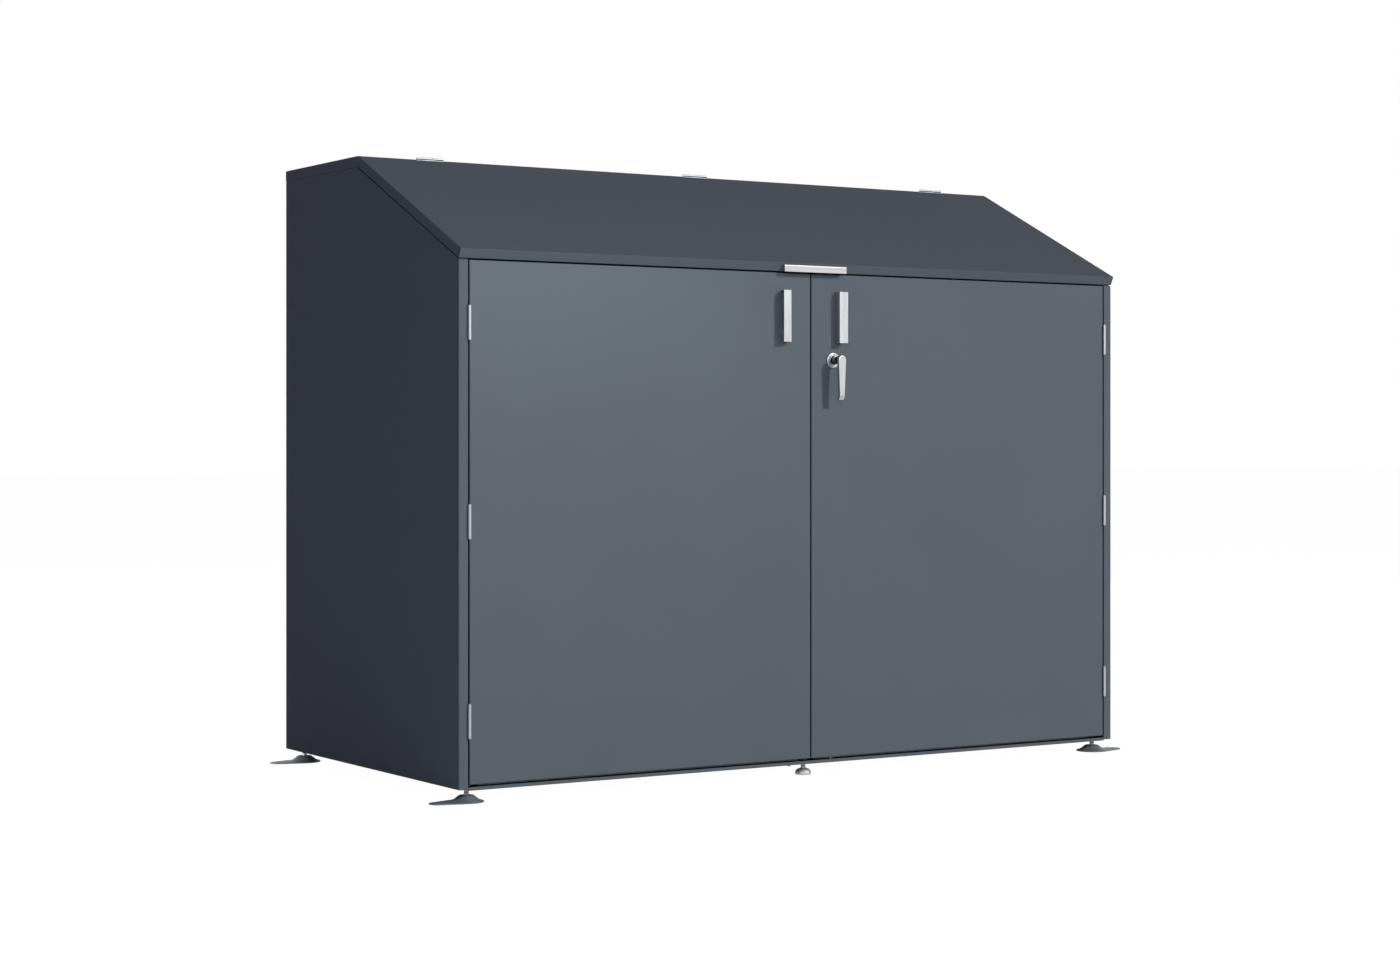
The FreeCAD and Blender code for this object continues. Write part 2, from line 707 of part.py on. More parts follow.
def lid_keepers():
    keepers = []
    for x, radius in (("Sizes.lock_x", "Sizes.rod_r"), ("-Sizes.bolt_x", "Sizes.bolt_r")):
        middle = "Sizes.rod_y / cos(Sizes.slope)"
        plate = slope_block(x + " - Sizes.keeper_long / 2", middle + " - Sizes.keeper_wide / 2",
                            "Sizes.sheet", ("Sizes.keeper_long", "Sizes.keeper_wide", "Sizes.keeper_thick"))
        hole = cylinder((x, "Sizes.rod_y", "Sizes.lid_front_z"), radius + " + 0.5", "Sizes.lid_thick", "z")
        keepers.append(cut(plate, [hole]))
    return fuse(keepers)


def lid_ribs():
    ribs = []
    long = "(Worked.lid_end_y / cos(Sizes.slope) - 2 * Sizes.rib_end_gap - 20)"
    for middle in ("-Worked.half / 2", "0", "Worked.half / 2"):
        under = "Sizes.lid_thick - Sizes.sheet - Sizes.lid_rib_high"
        shell = slope_block(middle + " - Sizes.rib_wide / 2", "Sizes.rib_end_gap", under,
                            ("Sizes.rib_wide", long, "Sizes.lid_rib_high"))
        hollow = slope_block(middle + " - Sizes.rib_wide / 2 + Sizes.rib_sheet", "Sizes.rib_end_gap - 1",
                             under + " + Sizes.rib_sheet",
                             ("Sizes.rib_wide - 2 * Sizes.rib_sheet", long + " + 2", "Sizes.lid_rib_high"))
        ribs.append(cut(shell, [hollow]))
    return fuse(ribs)


def lid_buffers():
    buffers = []
    inset = "(Sizes.post - Sizes.buffer_wide) / 2"
    under = "-Sizes.lid_gap * cos(Sizes.slope)"
    for x in ("-Worked.half + " + inset, "Worked.half - Sizes.buffer_wide - " + inset):
        for along in ("60", "Worked.lid_end_y / cos(Sizes.slope) - 110"):
            buffers.append(slope_block(x, along, under,
                                       ("Sizes.buffer_wide", "Sizes.buffer_long", "Worked.buffer_thick")))
    return fuse(buffers)


# Hinges

def door_hinge_leaf(moving):
    # leaves and their knuckles for the left door; the middle knuckle turns with the door
    leaves = []
    inner = "-Worked.half + Sizes.post"
    near_x = inner + (" + Sizes.door_gap - Sizes.hinge_leaf" if moving else "")
    third = "Sizes.hinge_long / 3"
    for middle in ("Sizes.hinge_low_z", "Sizes.hinge_mid_z", "Sizes.hinge_high_z"):
        low = "%s - Sizes.hinge_long / 2" % middle
        parts = [box((near_x, "Sizes.seat_gap", low), ("Sizes.hinge_leaf", "Sizes.leaf_deep", "Sizes.hinge_long"))]
        for step in ((1,) if moving else (0, 2)):
            start = "%s + %d * %s + Sizes.seat_gap / 2" % (low, step, third)
            height = third + " - Sizes.seat_gap"
            parts.append(box((near_x, "Worked.hinge_y", start),
                             ("Sizes.hinge_leaf", "Sizes.seat_gap - Worked.hinge_y + 1", height)))
            parts.append(cylinder(("-Worked.hinge_x", "Worked.hinge_y", start), "Sizes.knuckle_r", height, "z"))
        bore = cylinder(("-Worked.hinge_x", "Worked.hinge_y", low + " - 1"),
                        "Sizes.pin_r + Sizes.pin_play", "Sizes.hinge_long + 2", "z")
        leaves.append(cut(fuse(parts), [bore]))
    return fuse(leaves)


def door_hinge_pins():
    pins = []
    for middle in ("Sizes.hinge_low_z", "Sizes.hinge_mid_z", "Sizes.hinge_high_z"):
        low = "%s - Sizes.hinge_long / 2" % middle
        shaft = cylinder(("-Worked.hinge_x", "Worked.hinge_y", low), "Sizes.pin_r", "Sizes.hinge_long", "z")
        caps = []
        for start in (low + " - 1.5", low + " + Sizes.hinge_long"):
            caps.append(cylinder(("-Worked.hinge_x", "Worked.hinge_y", start), "Sizes.pin_r + 1", "1.5", "z"))
        pins.append(fuse([shaft] + caps))
    return fuse(pins)


def lid_hinge_places():
    return ("-Sizes.lid_hinge_x", "0", "Sizes.lid_hinge_x")


def lid_hinge_leaf(moving):
    leaves = []
    near_y = "Worked.lid_end_y" if moving else "Worked.roof_front_y - Sizes.hinge_leaf"
    low_z = "Worked.roof_under + Sizes.bend"
    plate_top = "Worked.roof_top - Sizes.seat_gap"
    third = "Sizes.hinge_long / 3"
    for middle in lid_hinge_places():
        low = "%s - Sizes.hinge_long / 2" % middle
        parts = [box((low, near_y, low_z), ("Sizes.hinge_long", "Sizes.hinge_leaf", plate_top + " - (" + low_z + ")"))]
        for step in ((1,) if moving else (0, 2)):
            start = "%s + %d * %s + Sizes.seat_gap / 2" % (low, step, third)
            long = third + " - Sizes.seat_gap"
            parts.append(box((start, near_y, plate_top + " - 1"),
                             (long, "Sizes.hinge_leaf", "Worked.lid_hinge_z - (" + plate_top + ") + 1")))
            parts.append(cylinder((start, "Sizes.ridge_y", "Worked.lid_hinge_z"), "Sizes.lid_knuckle_r", long, "x"))
        bore = cylinder((low + " - 1", "Sizes.ridge_y", "Worked.lid_hinge_z"),
                        "Sizes.pin_r + Sizes.pin_play", "Sizes.hinge_long + 2", "x")
        leaves.append(cut(fuse(parts), [bore]))
    return fuse(leaves)


def lid_hinge_pins():
    pins = []
    for middle in lid_hinge_places():
        low = "%s - Sizes.hinge_long / 2" % middle
        pins.append(cylinder((low, "Sizes.ridge_y", "Worked.lid_hinge_z"), "Sizes.pin_r", "Sizes.hinge_long", "x"))
    return fuse(pins)


# Doors

def door(side):
    outer = "Worked.door_outer"
    inner = "Worked.door_inner"
    low_x, high_x = ("-" + outer, "-" + inner) if side < 0 else (inner, outer)
    corners = (low_x, "Sizes.door_bottom", high_x, "Worked.door_top")
    body = cassette("door", "XZ_Plane", "0", -1, corners, "Sizes.door_thick", "Sizes.door_lip")
    outline = (("X", low_x, high_x), ("Z", "Sizes.door_bottom", "Worked.door_top"))
    fold_bends(body, "Y", "0", "Sizes.door_thick", 1, outline)
    x, radius = ("-Sizes.bolt_x", "Sizes.bolt_r") if side < 0 else ("Sizes.lock_x", "Sizes.rod_r")
    for height in ("Sizes.door_bottom + 2 * Sizes.sheet", "Worked.door_top + Sizes.sheet"):
        hole = circle(body, "XY_Plane", height, (x, "Sizes.rod_y"), radius + " + 0.5")
        pocket(body, hole, "4 * Sizes.sheet")
    if side > 0:
        hole = circle(body, "XZ_Plane", "1", ("Sizes.lock_x", "Sizes.lock_z"), "Sizes.spindle_r + 1")
        pocket(body, hole, "3 * Sizes.sheet")
    return body


def door_rib(side):
    middle = "%s(Worked.door_outer + Worked.door_inner) / 2" % ("-" if side < 0 else "")
    low = "Sizes.door_bottom + Sizes.rib_end_gap"
    return rib("door_rib", "XY_Plane", low, middle, "Sizes.sheet", "Sizes.rib_high",
               "Worked.door_top - Sizes.door_bottom - 2 * Sizes.rib_end_gap", 1)


def door_pull():
    # a channel bent from sheet: foot on the door, web beside the free edge, face in front
    body = new_body("door_pull")
    web = "-Sizes.pull_x"
    far = "-Sizes.pull_x - Sizes.pull_wide"
    foot = "-Sizes.pull_x - Sizes.pull_foot"
    thin = "Sizes.pull_sheet"
    corners = [
        (web, "0"),
        (foot, "0"),
        (foot, "-" + thin),
        ("%s - %s" % (web, thin), "-" + thin),
        ("%s - %s" % (web, thin), "-Sizes.pull_deep + " + thin),
        (far, "-Sizes.pull_deep + " + thin),
        (far, "-Sizes.pull_deep"),
        (web, "-Sizes.pull_deep"),
    ]
    low = "Worked.pull_z - Sizes.pull_high / 2"
    pad(body, polygon(body, "XY_Plane", low, corners), "Sizes.pull_high")
    for start in (low, "Worked.pull_z + Sizes.pull_high / 2 - " + thin):
        cap = rectangle(body, "XY_Plane", start, web, "0", foot, "-Sizes.pull_deep + " + thin + " / 2")
        pad(body, cap, thin)
    web_x = value(web)
    front_y = value("-Sizes.pull_deep")

    def is_outer(edge):
        return lies_at(edge, "X", web_x) and lies_at(edge, "Y", front_y)

    round_edges(body, "Sizes.pull_bend", is_outer)
    return body


def lid_pull():
    # the same kind of channel: foot on the lid's front band, web above, face in front
    thin = "Sizes.pull_sheet"
    top = "Sizes.lid_pull_low + Sizes.lid_pull_high"
    low = "Sizes.lid_pull_low"
    front = "-Sizes.lid_pull_deep"

    def band(z, off="0"):
        return "(-(%s - Sizes.lid_front_z) * Worked.rise - (%s) / cos(Sizes.slope))" % (z, off)

    body = new_body("lid_pull")
    foot_low = "Sizes.lid_front_z + 3"
    corners = [
        (band(foot_low), foot_low),
        (band(top), top),
        (front, top),
        (front, low),
        (front + " + " + thin, low),
        (front + " + " + thin, top + " - " + thin),
        (band(top + " - " + thin, thin), top + " - " + thin),
        (band(foot_low, thin), foot_low),
    ]
    span = "Sizes.lid_pull_long"
    pad(body, polygon(body, "YZ_Plane", "-%s / 2" % span, corners), span)
    end = [
        (band("Sizes.lid_front_z + 0.4"), "Sizes.lid_front_z + 0.4"),
        (band(top + " - 1"), top + " - 1"),
        (front + " + 1", top + " - 1"),
        (front + " + 1", low + " + 0.4"),
    ]
    for start in ("-%s / 2" % span, "%s / 2 - %s" % (span, thin)):
        pad(body, polygon(body, "YZ_Plane", start, end), thin)
    top_z = value(top)
    front_y = value(front)

    def is_bend(edge):
        return lies_at(edge, "Z", top_z) and lies_at(edge, "Y", front_y)

    round_edges(body, "Sizes.pull_bend - 1", is_bend)
    return body


# Lock

def lever():
    body = new_body("lever")
    axis_x = "Sizes.lock_x"
    axis_z = "Sizes.lock_z"
    front = "Sizes.lever_front"
    blade = polygon(body, "XZ_Plane", front, [
        (axis_x + " - Sizes.lever_top_r", axis_z),
        (axis_x + " - Sizes.lever_tip_wide / 2", axis_z + " - Sizes.lever_long"),
        (axis_x + " + Sizes.lever_tip_wide / 2", axis_z + " - Sizes.lever_long"),
        (axis_x + " + Sizes.lever_top_r", axis_z),
    ])
    pad(body, blade, "Sizes.lever_thick", -1)
    pad(body, circle(body, "XZ_Plane", front, (axis_x, axis_z), "Sizes.lever_top_r"), "Sizes.lever_thick", -1)
    tip_z = axis_z + " - Sizes.lever_long"
    run = "Sizes.lever_tip_long * cos(Sizes.lever_tip_bend)"
    reach = "Sizes.lever_tip_long * sin(Sizes.lever_tip_bend)"
    tip = polygon(body, "YZ_Plane", axis_x + " - Sizes.lever_tip_wide / 2", [
        ("-" + front, tip_z + " + 0.5"),
        ("-%s + Sizes.lever_thick" % front, tip_z + " + 0.5"),
        ("-%s + Sizes.lever_thick + %s" % (front, reach), "%s - %s" % (tip_z, run)),
        ("-%s + %s" % (front, reach), "%s - %s - 1" % (tip_z, run)),
        ("-" + front, tip_z),
    ])
    pad(body, tip, "Sizes.lever_tip_wide")
    neck = circle(body, "XZ_Plane", front + " - Sizes.lever_thick", (axis_x, axis_z), "Sizes.neck_r")
    pad(body, neck, front + " - Sizes.lever_thick - Sizes.rosette_high - Sizes.seat_gap", -1)
    front_y = value("-" + front)

    def is_rim(edge):
        return lies_at(edge, "Y", front_y)

    round_edges(body, "Sizes.lever_thick / 4", is_rim)
    return body


def spindle():
    body = new_body("spindle")
    start = "Sizes.rosette_high + Sizes.seat_gap"
    pad(body, circle(body, "XZ_Plane", start, ("Sizes.lock_x", "Sizes.lock_z"), "Sizes.spindle_r"),
        start + " + Sizes.case_back + 1", -1)
    return body


def rosette():
    body = new_body("rosette")
    high = "Sizes.rosette_high"
    for radius, depth in (("Sizes.rosette_r", high + " - Sizes.rosette_step"),
                          ("Sizes.rosette_r - Sizes.rosette_rim", high)):
        disc = circle(body, "XZ_Plane", "0", ("Sizes.lock_x", "Sizes.lock_z"), radius)
        pad(body, disc, depth)
    bore = circle(body, "XZ_Plane", high + " + 1", ("Sizes.lock_x", "Sizes.lock_z"),
                  "Sizes.spindle_r + Sizes.turn_play")
    pocket(body, bore, high + " + 2")
    edge_y = value("-(%s - Sizes.rosette_step)" % high)

    def is_rim(edge):
        return lies_at(edge, "Y", edge_y) and edge.BoundBox.XLength > value("2 * Sizes.rosette_r") - 1

    round_edges(body, "Sizes.rosette_step * 0.8", is_rim)
    return body


def flank_angle(radius):
    # half the angle that a tooth takes at a radius, from its involute
    pitch = value("Worked.pitch_r")
    base = pitch * math.cos(math.radians(20))
    middle = math.tan(math.radians(20)) - math.radians(20)
    here = math.acos(min(1, base / max(radius, base)))
    half = math.pi / (2 * value("Sizes.tooth_count")) - value("Sizes.tooth_play") / (4 * pitch)
    return half + middle - (math.tan(here) - here)


def pinion():
    body = new_body("pinion")
    pitch = value("Worked.pitch_r")
    back = "-(Sizes.rod_y - Sizes.pinion_wide / 2)"
    centre = ("Sizes.lock_x", "Sizes.lock_z")
    pad(body, circle(body, "XZ_Plane", back, centre, "Worked.pitch_r - Sizes.tooth_root"), "Sizes.pinion_wide", -1)
    root = pitch - value("Sizes.tooth_root") - 0.5
    tip = pitch + value("Sizes.tooth_height")
    radii = [root + (tip - root) * step / 4 for step in range(5)]
    flank = [(radius, flank_angle(radius)) for radius in radii]
    points = [(radius, -angle) for radius, angle in flank] + [(radius, angle) for radius, angle in reversed(flank)]
    sketch = new_sketch(body, "XZ_Plane", back)
    axis = VECTOR(value("Sizes.lock_x"), value("Sizes.lock_z"), 0)
    start = math.pi / value("Sizes.tooth_count")
    places = [axis + VECTOR(radius * math.cos(start + angle), radius * math.sin(start + angle), 0)
              for radius, angle in points]
    for index, place in enumerate(places):
        sketch.addGeometry(Part.LineSegment(place, places[(index + 1) % len(places)]), False)
        sketch.addConstraint(Sketcher.Constraint("Block", index))
    tooth = pad(body, sketch, "Sizes.pinion_wide", -1)
    axis_line = body.newObject("PartDesign::Line", "turn_axis")
    axis_line.Placement = FreeCAD.Placement(VECTOR(), FreeCAD.Rotation(VECTOR(1, 0, 0), 90))
    bind(axis_line, Placement__Base__x="Sizes.lock_x", Placement__Base__z="Sizes.lock_z")
    doc.recompute()
    pattern = body.newObject("PartDesign::PolarPattern", "teeth")
    pattern.Originals = [tooth]
    pattern.Axis = (axis_line, [""])
    pattern.Angle = 360
    bind(pattern, Occurrences="Sizes.tooth_count")
    body.Tip = pattern
    doc.recompute()
    bore = circle(body, "XZ_Plane", back, centre, "Sizes.spindle_r")
    pocket(body, bore, "Sizes.pinion_wide", -1)
    return body


def rack_rod(side, up):
    # side is where the rack meshes, up tells the upper rod; the bar joggles back over the axis
    body = new_body("rack_rod")
    axis_x = "Sizes.lock_x"
    axis_z = "Sizes.lock_z"
    turn = "+" if side > 0 else "-"
    way = "+" if up else "-"

    def x_at(off):
        return "%s %s (%s)" % (axis_x, turn, off)

    def z_at(off):
        return "%s %s (%s)" % (axis_z, way, off)

    near = "Worked.pitch_r + Sizes.tooth_root"
    far = near + " + Sizes.rack_back"
    bar = "Sizes.rack_reach"
    level = "-(Sizes.rod_y - Sizes.pinion_wide / 2)"
    outline = polygon(body, "XZ_Plane", level, [
        (x_at(near), z_at("-Sizes.rack_tail")),
        (x_at(far), z_at("-Sizes.rack_tail")),
        (x_at(far), z_at(bar + " + 8")),
        (x_at("-Sizes.rod_r - 2"), z_at(bar + " + 8")),
        (x_at("-Sizes.rod_r - 2"), z_at(bar)),
        (x_at(near), z_at(bar)),
    ])
    pad(body, outline, "Sizes.pinion_wide", -1)
    lean = math.tan(math.radians(20))
    for index in range(-4, 2):
        # a tooth stands in every gap of the pinion, half a step from its tooth on the axis line
        place = "%f * Sizes.module * pi" % index
        half = "(Sizes.module * pi / 4 - Sizes.tooth_play / 4"
        wide = half + " + Sizes.tooth_root * %f + 0.2 * %f)" % (lean, lean)
        slim = half + " - Sizes.tooth_height * %f)" % lean
        tooth = polygon(body, "XZ_Plane", level, [
            (x_at(near + " + 0.2"), z_at(place + " - " + wide)),
            (x_at(near + " + 0.2"), z_at(place + " + " + wide)),
            (x_at("Worked.pitch_r - Sizes.tooth_height"), z_at(place + " + " + slim)),
            (x_at("Worked.pitch_r - Sizes.tooth_height"), z_at(place + " - " + slim)),
        ])
        pad(body, tooth, "Sizes.pinion_wide", -1)
    start = z_at(bar)
    rod = circle(body, "XY_Plane", start, (axis_x, "Sizes.rod_y"), "Sizes.rod_r")
    if up:
        pad(body, rod, "Worked.rod_high_z - (%s)" % start)
    else:
        pad(body, rod, "%s - Worked.rod_low_z" % start, -1)
    return body


def lock_case():
    # an open frame on the door skin: two side walls and a back that carries the spindle
    half = "Worked.case_half"
    low = "Sizes.lock_z - Sizes.case_high / 2"
    deep = "Sizes.case_back - Sizes.sheet"
    shell = box(("Sizes.lock_x - " + half, "Sizes.sheet", low), ("2 * " + half, deep, "Sizes.case_high"))
    hollow = box(("Sizes.lock_x - %s + Sizes.sheet" % half, "0", low + " - 1"),
                 ("2 * (%s - Sizes.sheet)" % half, "Sizes.case_back - Sizes.sheet", "Sizes.case_high + 2"))
    bore = cylinder(("Sizes.lock_x", "0", "Sizes.lock_z"), "Sizes.spindle_r + Sizes.turn_play",
                    "Sizes.case_back + 5", "y")
    return cut(shell, [hollow, bore])


def guide(x, z, radius):
    block = box((x + " - Sizes.guide_wide / 2", "Sizes.sheet", z + " - Sizes.guide_high / 2"),
                ("Sizes.guide_wide", "Sizes.rod_y + %s + 3 - Sizes.sheet" % radius, "Sizes.guide_high"))
    bore = cylinder((x, "Sizes.rod_y", z + " - Sizes.guide_high"), radius + " + Sizes.turn_play",
                    "2 * Sizes.guide_high", "z")
    return cut(block, [bore])


def rod_guides():
    places = ("Sizes.door_bottom + 60", "Sizes.lock_z / 2", "Sizes.lock_z + 120", "Worked.door_top - 40")
    return fuse([guide("Sizes.lock_x", z, "Sizes.rod_r") for z in places])


def bolt_guides():
    places = ("Sizes.door_bottom + 35", "Sizes.door_bottom + Sizes.bolt_long - 25",
              "Worked.door_top - 35", "Worked.door_top - Sizes.bolt_long + 25")
    return fuse([guide("-Sizes.bolt_x", z, "Sizes.bolt_r") for z in places])


def door_bolt(up):
    if up:
        low = "Worked.door_top - Sizes.bolt_inset - Sizes.bolt_long"
    else:
        low = "Sizes.door_bottom + Sizes.bolt_inset"
    shaft = cylinder(("-Sizes.bolt_x", "Sizes.rod_y", low), "Sizes.bolt_r", "Sizes.bolt_long", "z")
    knob = cylinder(("-Sizes.bolt_x", "Sizes.rod_y", low + " + Sizes.bolt_long / 2"), "Sizes.bolt_r",
                    "Sizes.door_thick - Sizes.rod_y", "y")
    return fuse([shaft, knob])


# Feet

def ground_plate():
    body = new_body("ground_plate")
    x = "-(Worked.half - Sizes.foot_x)"
    y = "Sizes.foot_y"
    low = "-Sizes.ground_gap"
    pad(body, circle(body, "XY_Plane", low, (x, y), "Sizes.pad_r"), "Sizes.pad_thick")
    far = x + " - Sizes.tongue_reach"
    lean = "((Sizes.pad_r - Sizes.tongue_r) / Sizes.tongue_reach)"
    side = "sqrt(1 - %s ^ 2)" % lean
    tongue = polygon(body, "XY_Plane", low, [
        ("%s - Sizes.pad_r * %s" % (x, lean), "%s - Sizes.pad_r * %s" % (y, side)),
        ("%s - Sizes.pad_r * %s" % (x, lean), "%s + Sizes.pad_r * %s" % (y, side)),
        ("%s - Sizes.tongue_r * %s" % (far, lean), "%s + Sizes.tongue_r * %s" % (y, side)),
        ("%s - Sizes.tongue_r * %s" % (far, lean), "%s - Sizes.tongue_r * %s" % (y, side)),
    ])
    pad(body, tongue, "Sizes.pad_thick")
    pad(body, circle(body, "XY_Plane", low, (far, y), "Sizes.tongue_r"), "Sizes.pad_thick")
    plate = body
    hump = doc.addObject("Part::Cone", "hump")
    bind(hump, Radius1="Sizes.hump_base_r", Radius2="Sizes.hump_top_r", Height="Sizes.hump_high - Sizes.pad_thick",
         Placement__Base__x=x, Placement__Base__y=y, Placement__Base__z=low + " + Sizes.pad_thick")
    hollow = doc.addObject("Part::Cone", "hollow")
    bind(hollow, Radius1="Sizes.hump_base_r", Radius2="Sizes.hump_top_r",
         Height="Sizes.hump_high - Sizes.pad_thick",
         Placement__Base__x=x, Placement__Base__y=y, Placement__Base__z=low)
    stem_hole = cylinder((x, y, low), "Sizes.stem_r + Sizes.turn_play", "Sizes.hump_high + 1", "z")
    anchor = cylinder((far, y, low + " - 1"), "Sizes.tongue_hole_r", "Sizes.pad_thick + 2", "z")
    return cut(fuse([plate, hump]), [hollow, stem_hole, anchor])


def stem():
    x = "-(Worked.half - Sizes.foot_x)"
    y = "Sizes.foot_y"
    low = "-Sizes.ground_gap"
    shaft = cylinder((x, y, low), "Sizes.stem_r", "Sizes.ground_gap + Sizes.stem_top", "z")
    base = cylinder((x, y, low), "Sizes.hump_top_r - 2", "Sizes.hump_high - Sizes.pad_thick - Sizes.seat_gap", "z")
    return fuse([shaft, base])


def to_rear(source):
    rear = doc.addObject("Part::Mirroring", "rear")
    rear.Source = source
    rear.Normal = VECTOR(0, 1, 0)
    bind(rear, Base__y="Worked.front_y + Sizes.cabinet_depth / 2")
    return rear


def middle_foot():
    low = "-Sizes.ground_gap"
    rim = cylinder(("0", "Sizes.foot_y", low), "Sizes.dome_r", "Sizes.dome_rim", "z")
    dome = doc.addObject("Part::Cone", "dome")
    bind(dome, Radius1="Sizes.dome_r", Radius2="Sizes.dome_top_r", Height="Sizes.dome_high - Sizes.dome_rim",
         Placement__Base__y="Sizes.foot_y", Placement__Base__z=low + " + Sizes.dome_rim")
    shaft = cylinder(("0", "Sizes.foot_y", low), "Sizes.stem_r", "Sizes.ground_gap + Sizes.stem_top", "z")
    return fuse([rim, dome, shaft])


def lock_nuts():
    nuts = []
    for x, y in foot_places():
        prism = doc.addObject("Part::Prism", "nut")
        prism.Polygon = 6
        bind(prism, Circumradius="Sizes.nut_across / sqrt(3)", Height="Sizes.nut_high",
             Placement__Base__x=x, Placement__Base__y=y, Placement__Base__z="Sizes.sill_top")
        bore = cylinder((x, y, "Sizes.sill_top - 1"), "Sizes.stem_r + Sizes.turn_play", "Sizes.nut_high + 2", "z")
        nuts.append(cut(prism, [bore]))
    return fuse(nuts)


# Gas springs

def spring_reach():
    return ("sqrt((Worked.spring_high_y - Sizes.spring_low_y) ^ 2"
            " + (Worked.spring_high_z - Sizes.spring_low_z) ^ 2)")


def spring_frame(thing, along):
    # sets a piece on the line from the lower to the upper pivot, its own Z along that line
    back = "(Worked.spring_high_y - Sizes.spring_low_y)"
    rise = "(Worked.spring_high_z - Sizes.spring_low_z)"
    share = "(%s) / %s" % (along, spring_reach())
    turn = value("-atan(%s / %s)" % (back, rise))
    thing.Placement = FreeCAD.Placement(VECTOR(), FreeCAD.Rotation(VECTOR(1, 0, 0), turn))
    bind(thing, Placement__Base__x="-Worked.half + Sizes.spring_x",
         Placement__Base__y="Sizes.spring_low_y + %s * %s" % (share, back),
         Placement__Base__z="Sizes.spring_low_z + %s * %s" % (share, rise))
    return thing


def spring_tube(radius, along, length):
    piece = doc.addObject("Part::Cylinder", "tube")
    bind(piece, Radius=radius, Height=length)
    return spring_frame(piece, along)


def eye(y, z):
    return cylinder(("-Worked.half + Sizes.spring_x - Sizes.eye_thick / 2", y, z), "Sizes.eye_r",
                    "Sizes.eye_thick", "x")


def spring_cylinder():
    tube = spring_tube("Sizes.cylinder_r", "Sizes.cylinder_lead", "Sizes.cylinder_long")
    neck = spring_tube("Sizes.piston_r", "Sizes.eye_r - 2", "Sizes.cylinder_lead - Sizes.eye_r + 4")
    bore = spring_tube("Sizes.piston_r + Sizes.turn_play", "Sizes.cylinder_lead + 8", "Sizes.cylinder_long")
    stud = cylinder(("-Worked.half", "Sizes.spring_low_y", "Sizes.spring_low_z"),
                    "Sizes.stud_r + Sizes.turn_play", "Sizes.spring_x * 2", "x")
    return cut(fuse([tube, neck, eye("Sizes.spring_low_y", "Sizes.spring_low_z")]), [bore, stud])


def spring_piston():
    start = "Sizes.cylinder_lead + 10"
    shaft = spring_tube("Sizes.piston_r", start, "%s - (%s) - 2" % (spring_reach(), start))
    return fuse([shaft, eye("Worked.spring_high_y", "Worked.spring_high_z")])


def spring_side_bracket():
    # a stud on a plate that stands on the side panel's rib
    crown = "-Worked.half + Sizes.sheet + Sizes.rib_high"
    plate = box((crown, "Sizes.spring_low_y - Sizes.bracket_wide / 2", "Sizes.spring_low_z - Sizes.bracket_high / 2"),
                ("Sizes.bracket_thick", "Sizes.bracket_wide", "Sizes.bracket_high"))
    stud = cylinder((crown, "Sizes.spring_low_y", "Sizes.spring_low_z"), "Sizes.stud_r",
                    "Sizes.spring_x + Sizes.eye_thick / 2 + 2 - Sizes.sheet - Sizes.rib_high", "x")
    collar = cylinder((crown, "Sizes.spring_low_y", "Sizes.spring_low_z"), "Sizes.stud_r + Sizes.stud_collar",
                      "Sizes.spring_x - Sizes.eye_thick / 2 - Sizes.seat_gap - Sizes.sheet - Sizes.rib_high", "x")
    return fuse([plate, stud, collar])


def spring_lid_bracket():
    # a lug under the lid, beside the eye; the open pivot of the linkage
    body = new_body("lid_lug")
    base_far = "Worked.lid_end_y / cos(Sizes.slope) - Sizes.spring_lid_run"
    lug = [
        lid_point(base_far + " - Sizes.lug_foot / 2", "Sizes.lid_thick - Sizes.sheet"),
        lid_point(base_far + " + Sizes.lug_foot / 2", "Sizes.lid_thick - Sizes.sheet"),
        ("Worked.spring_high_y + Sizes.eye_r", "Worked.spring_high_z - Sizes.eye_r / 2"),
        ("Worked.spring_high_y + Sizes.eye_r / 2", "Worked.spring_high_z - Sizes.eye_r"),
        ("Worked.spring_high_y - Sizes.eye_r / 2", "Worked.spring_high_z - Sizes.eye_r"),
        ("Worked.spring_high_y - Sizes.eye_r", "Worked.spring_high_z - Sizes.eye_r / 2"),
    ]
    inner = "-Worked.half + Sizes.spring_x + Sizes.eye_thick / 2 + Sizes.seat_gap"
    pad(body, polygon(body, "YZ_Plane", inner, lug), "Sizes.lug_thick")
    return body


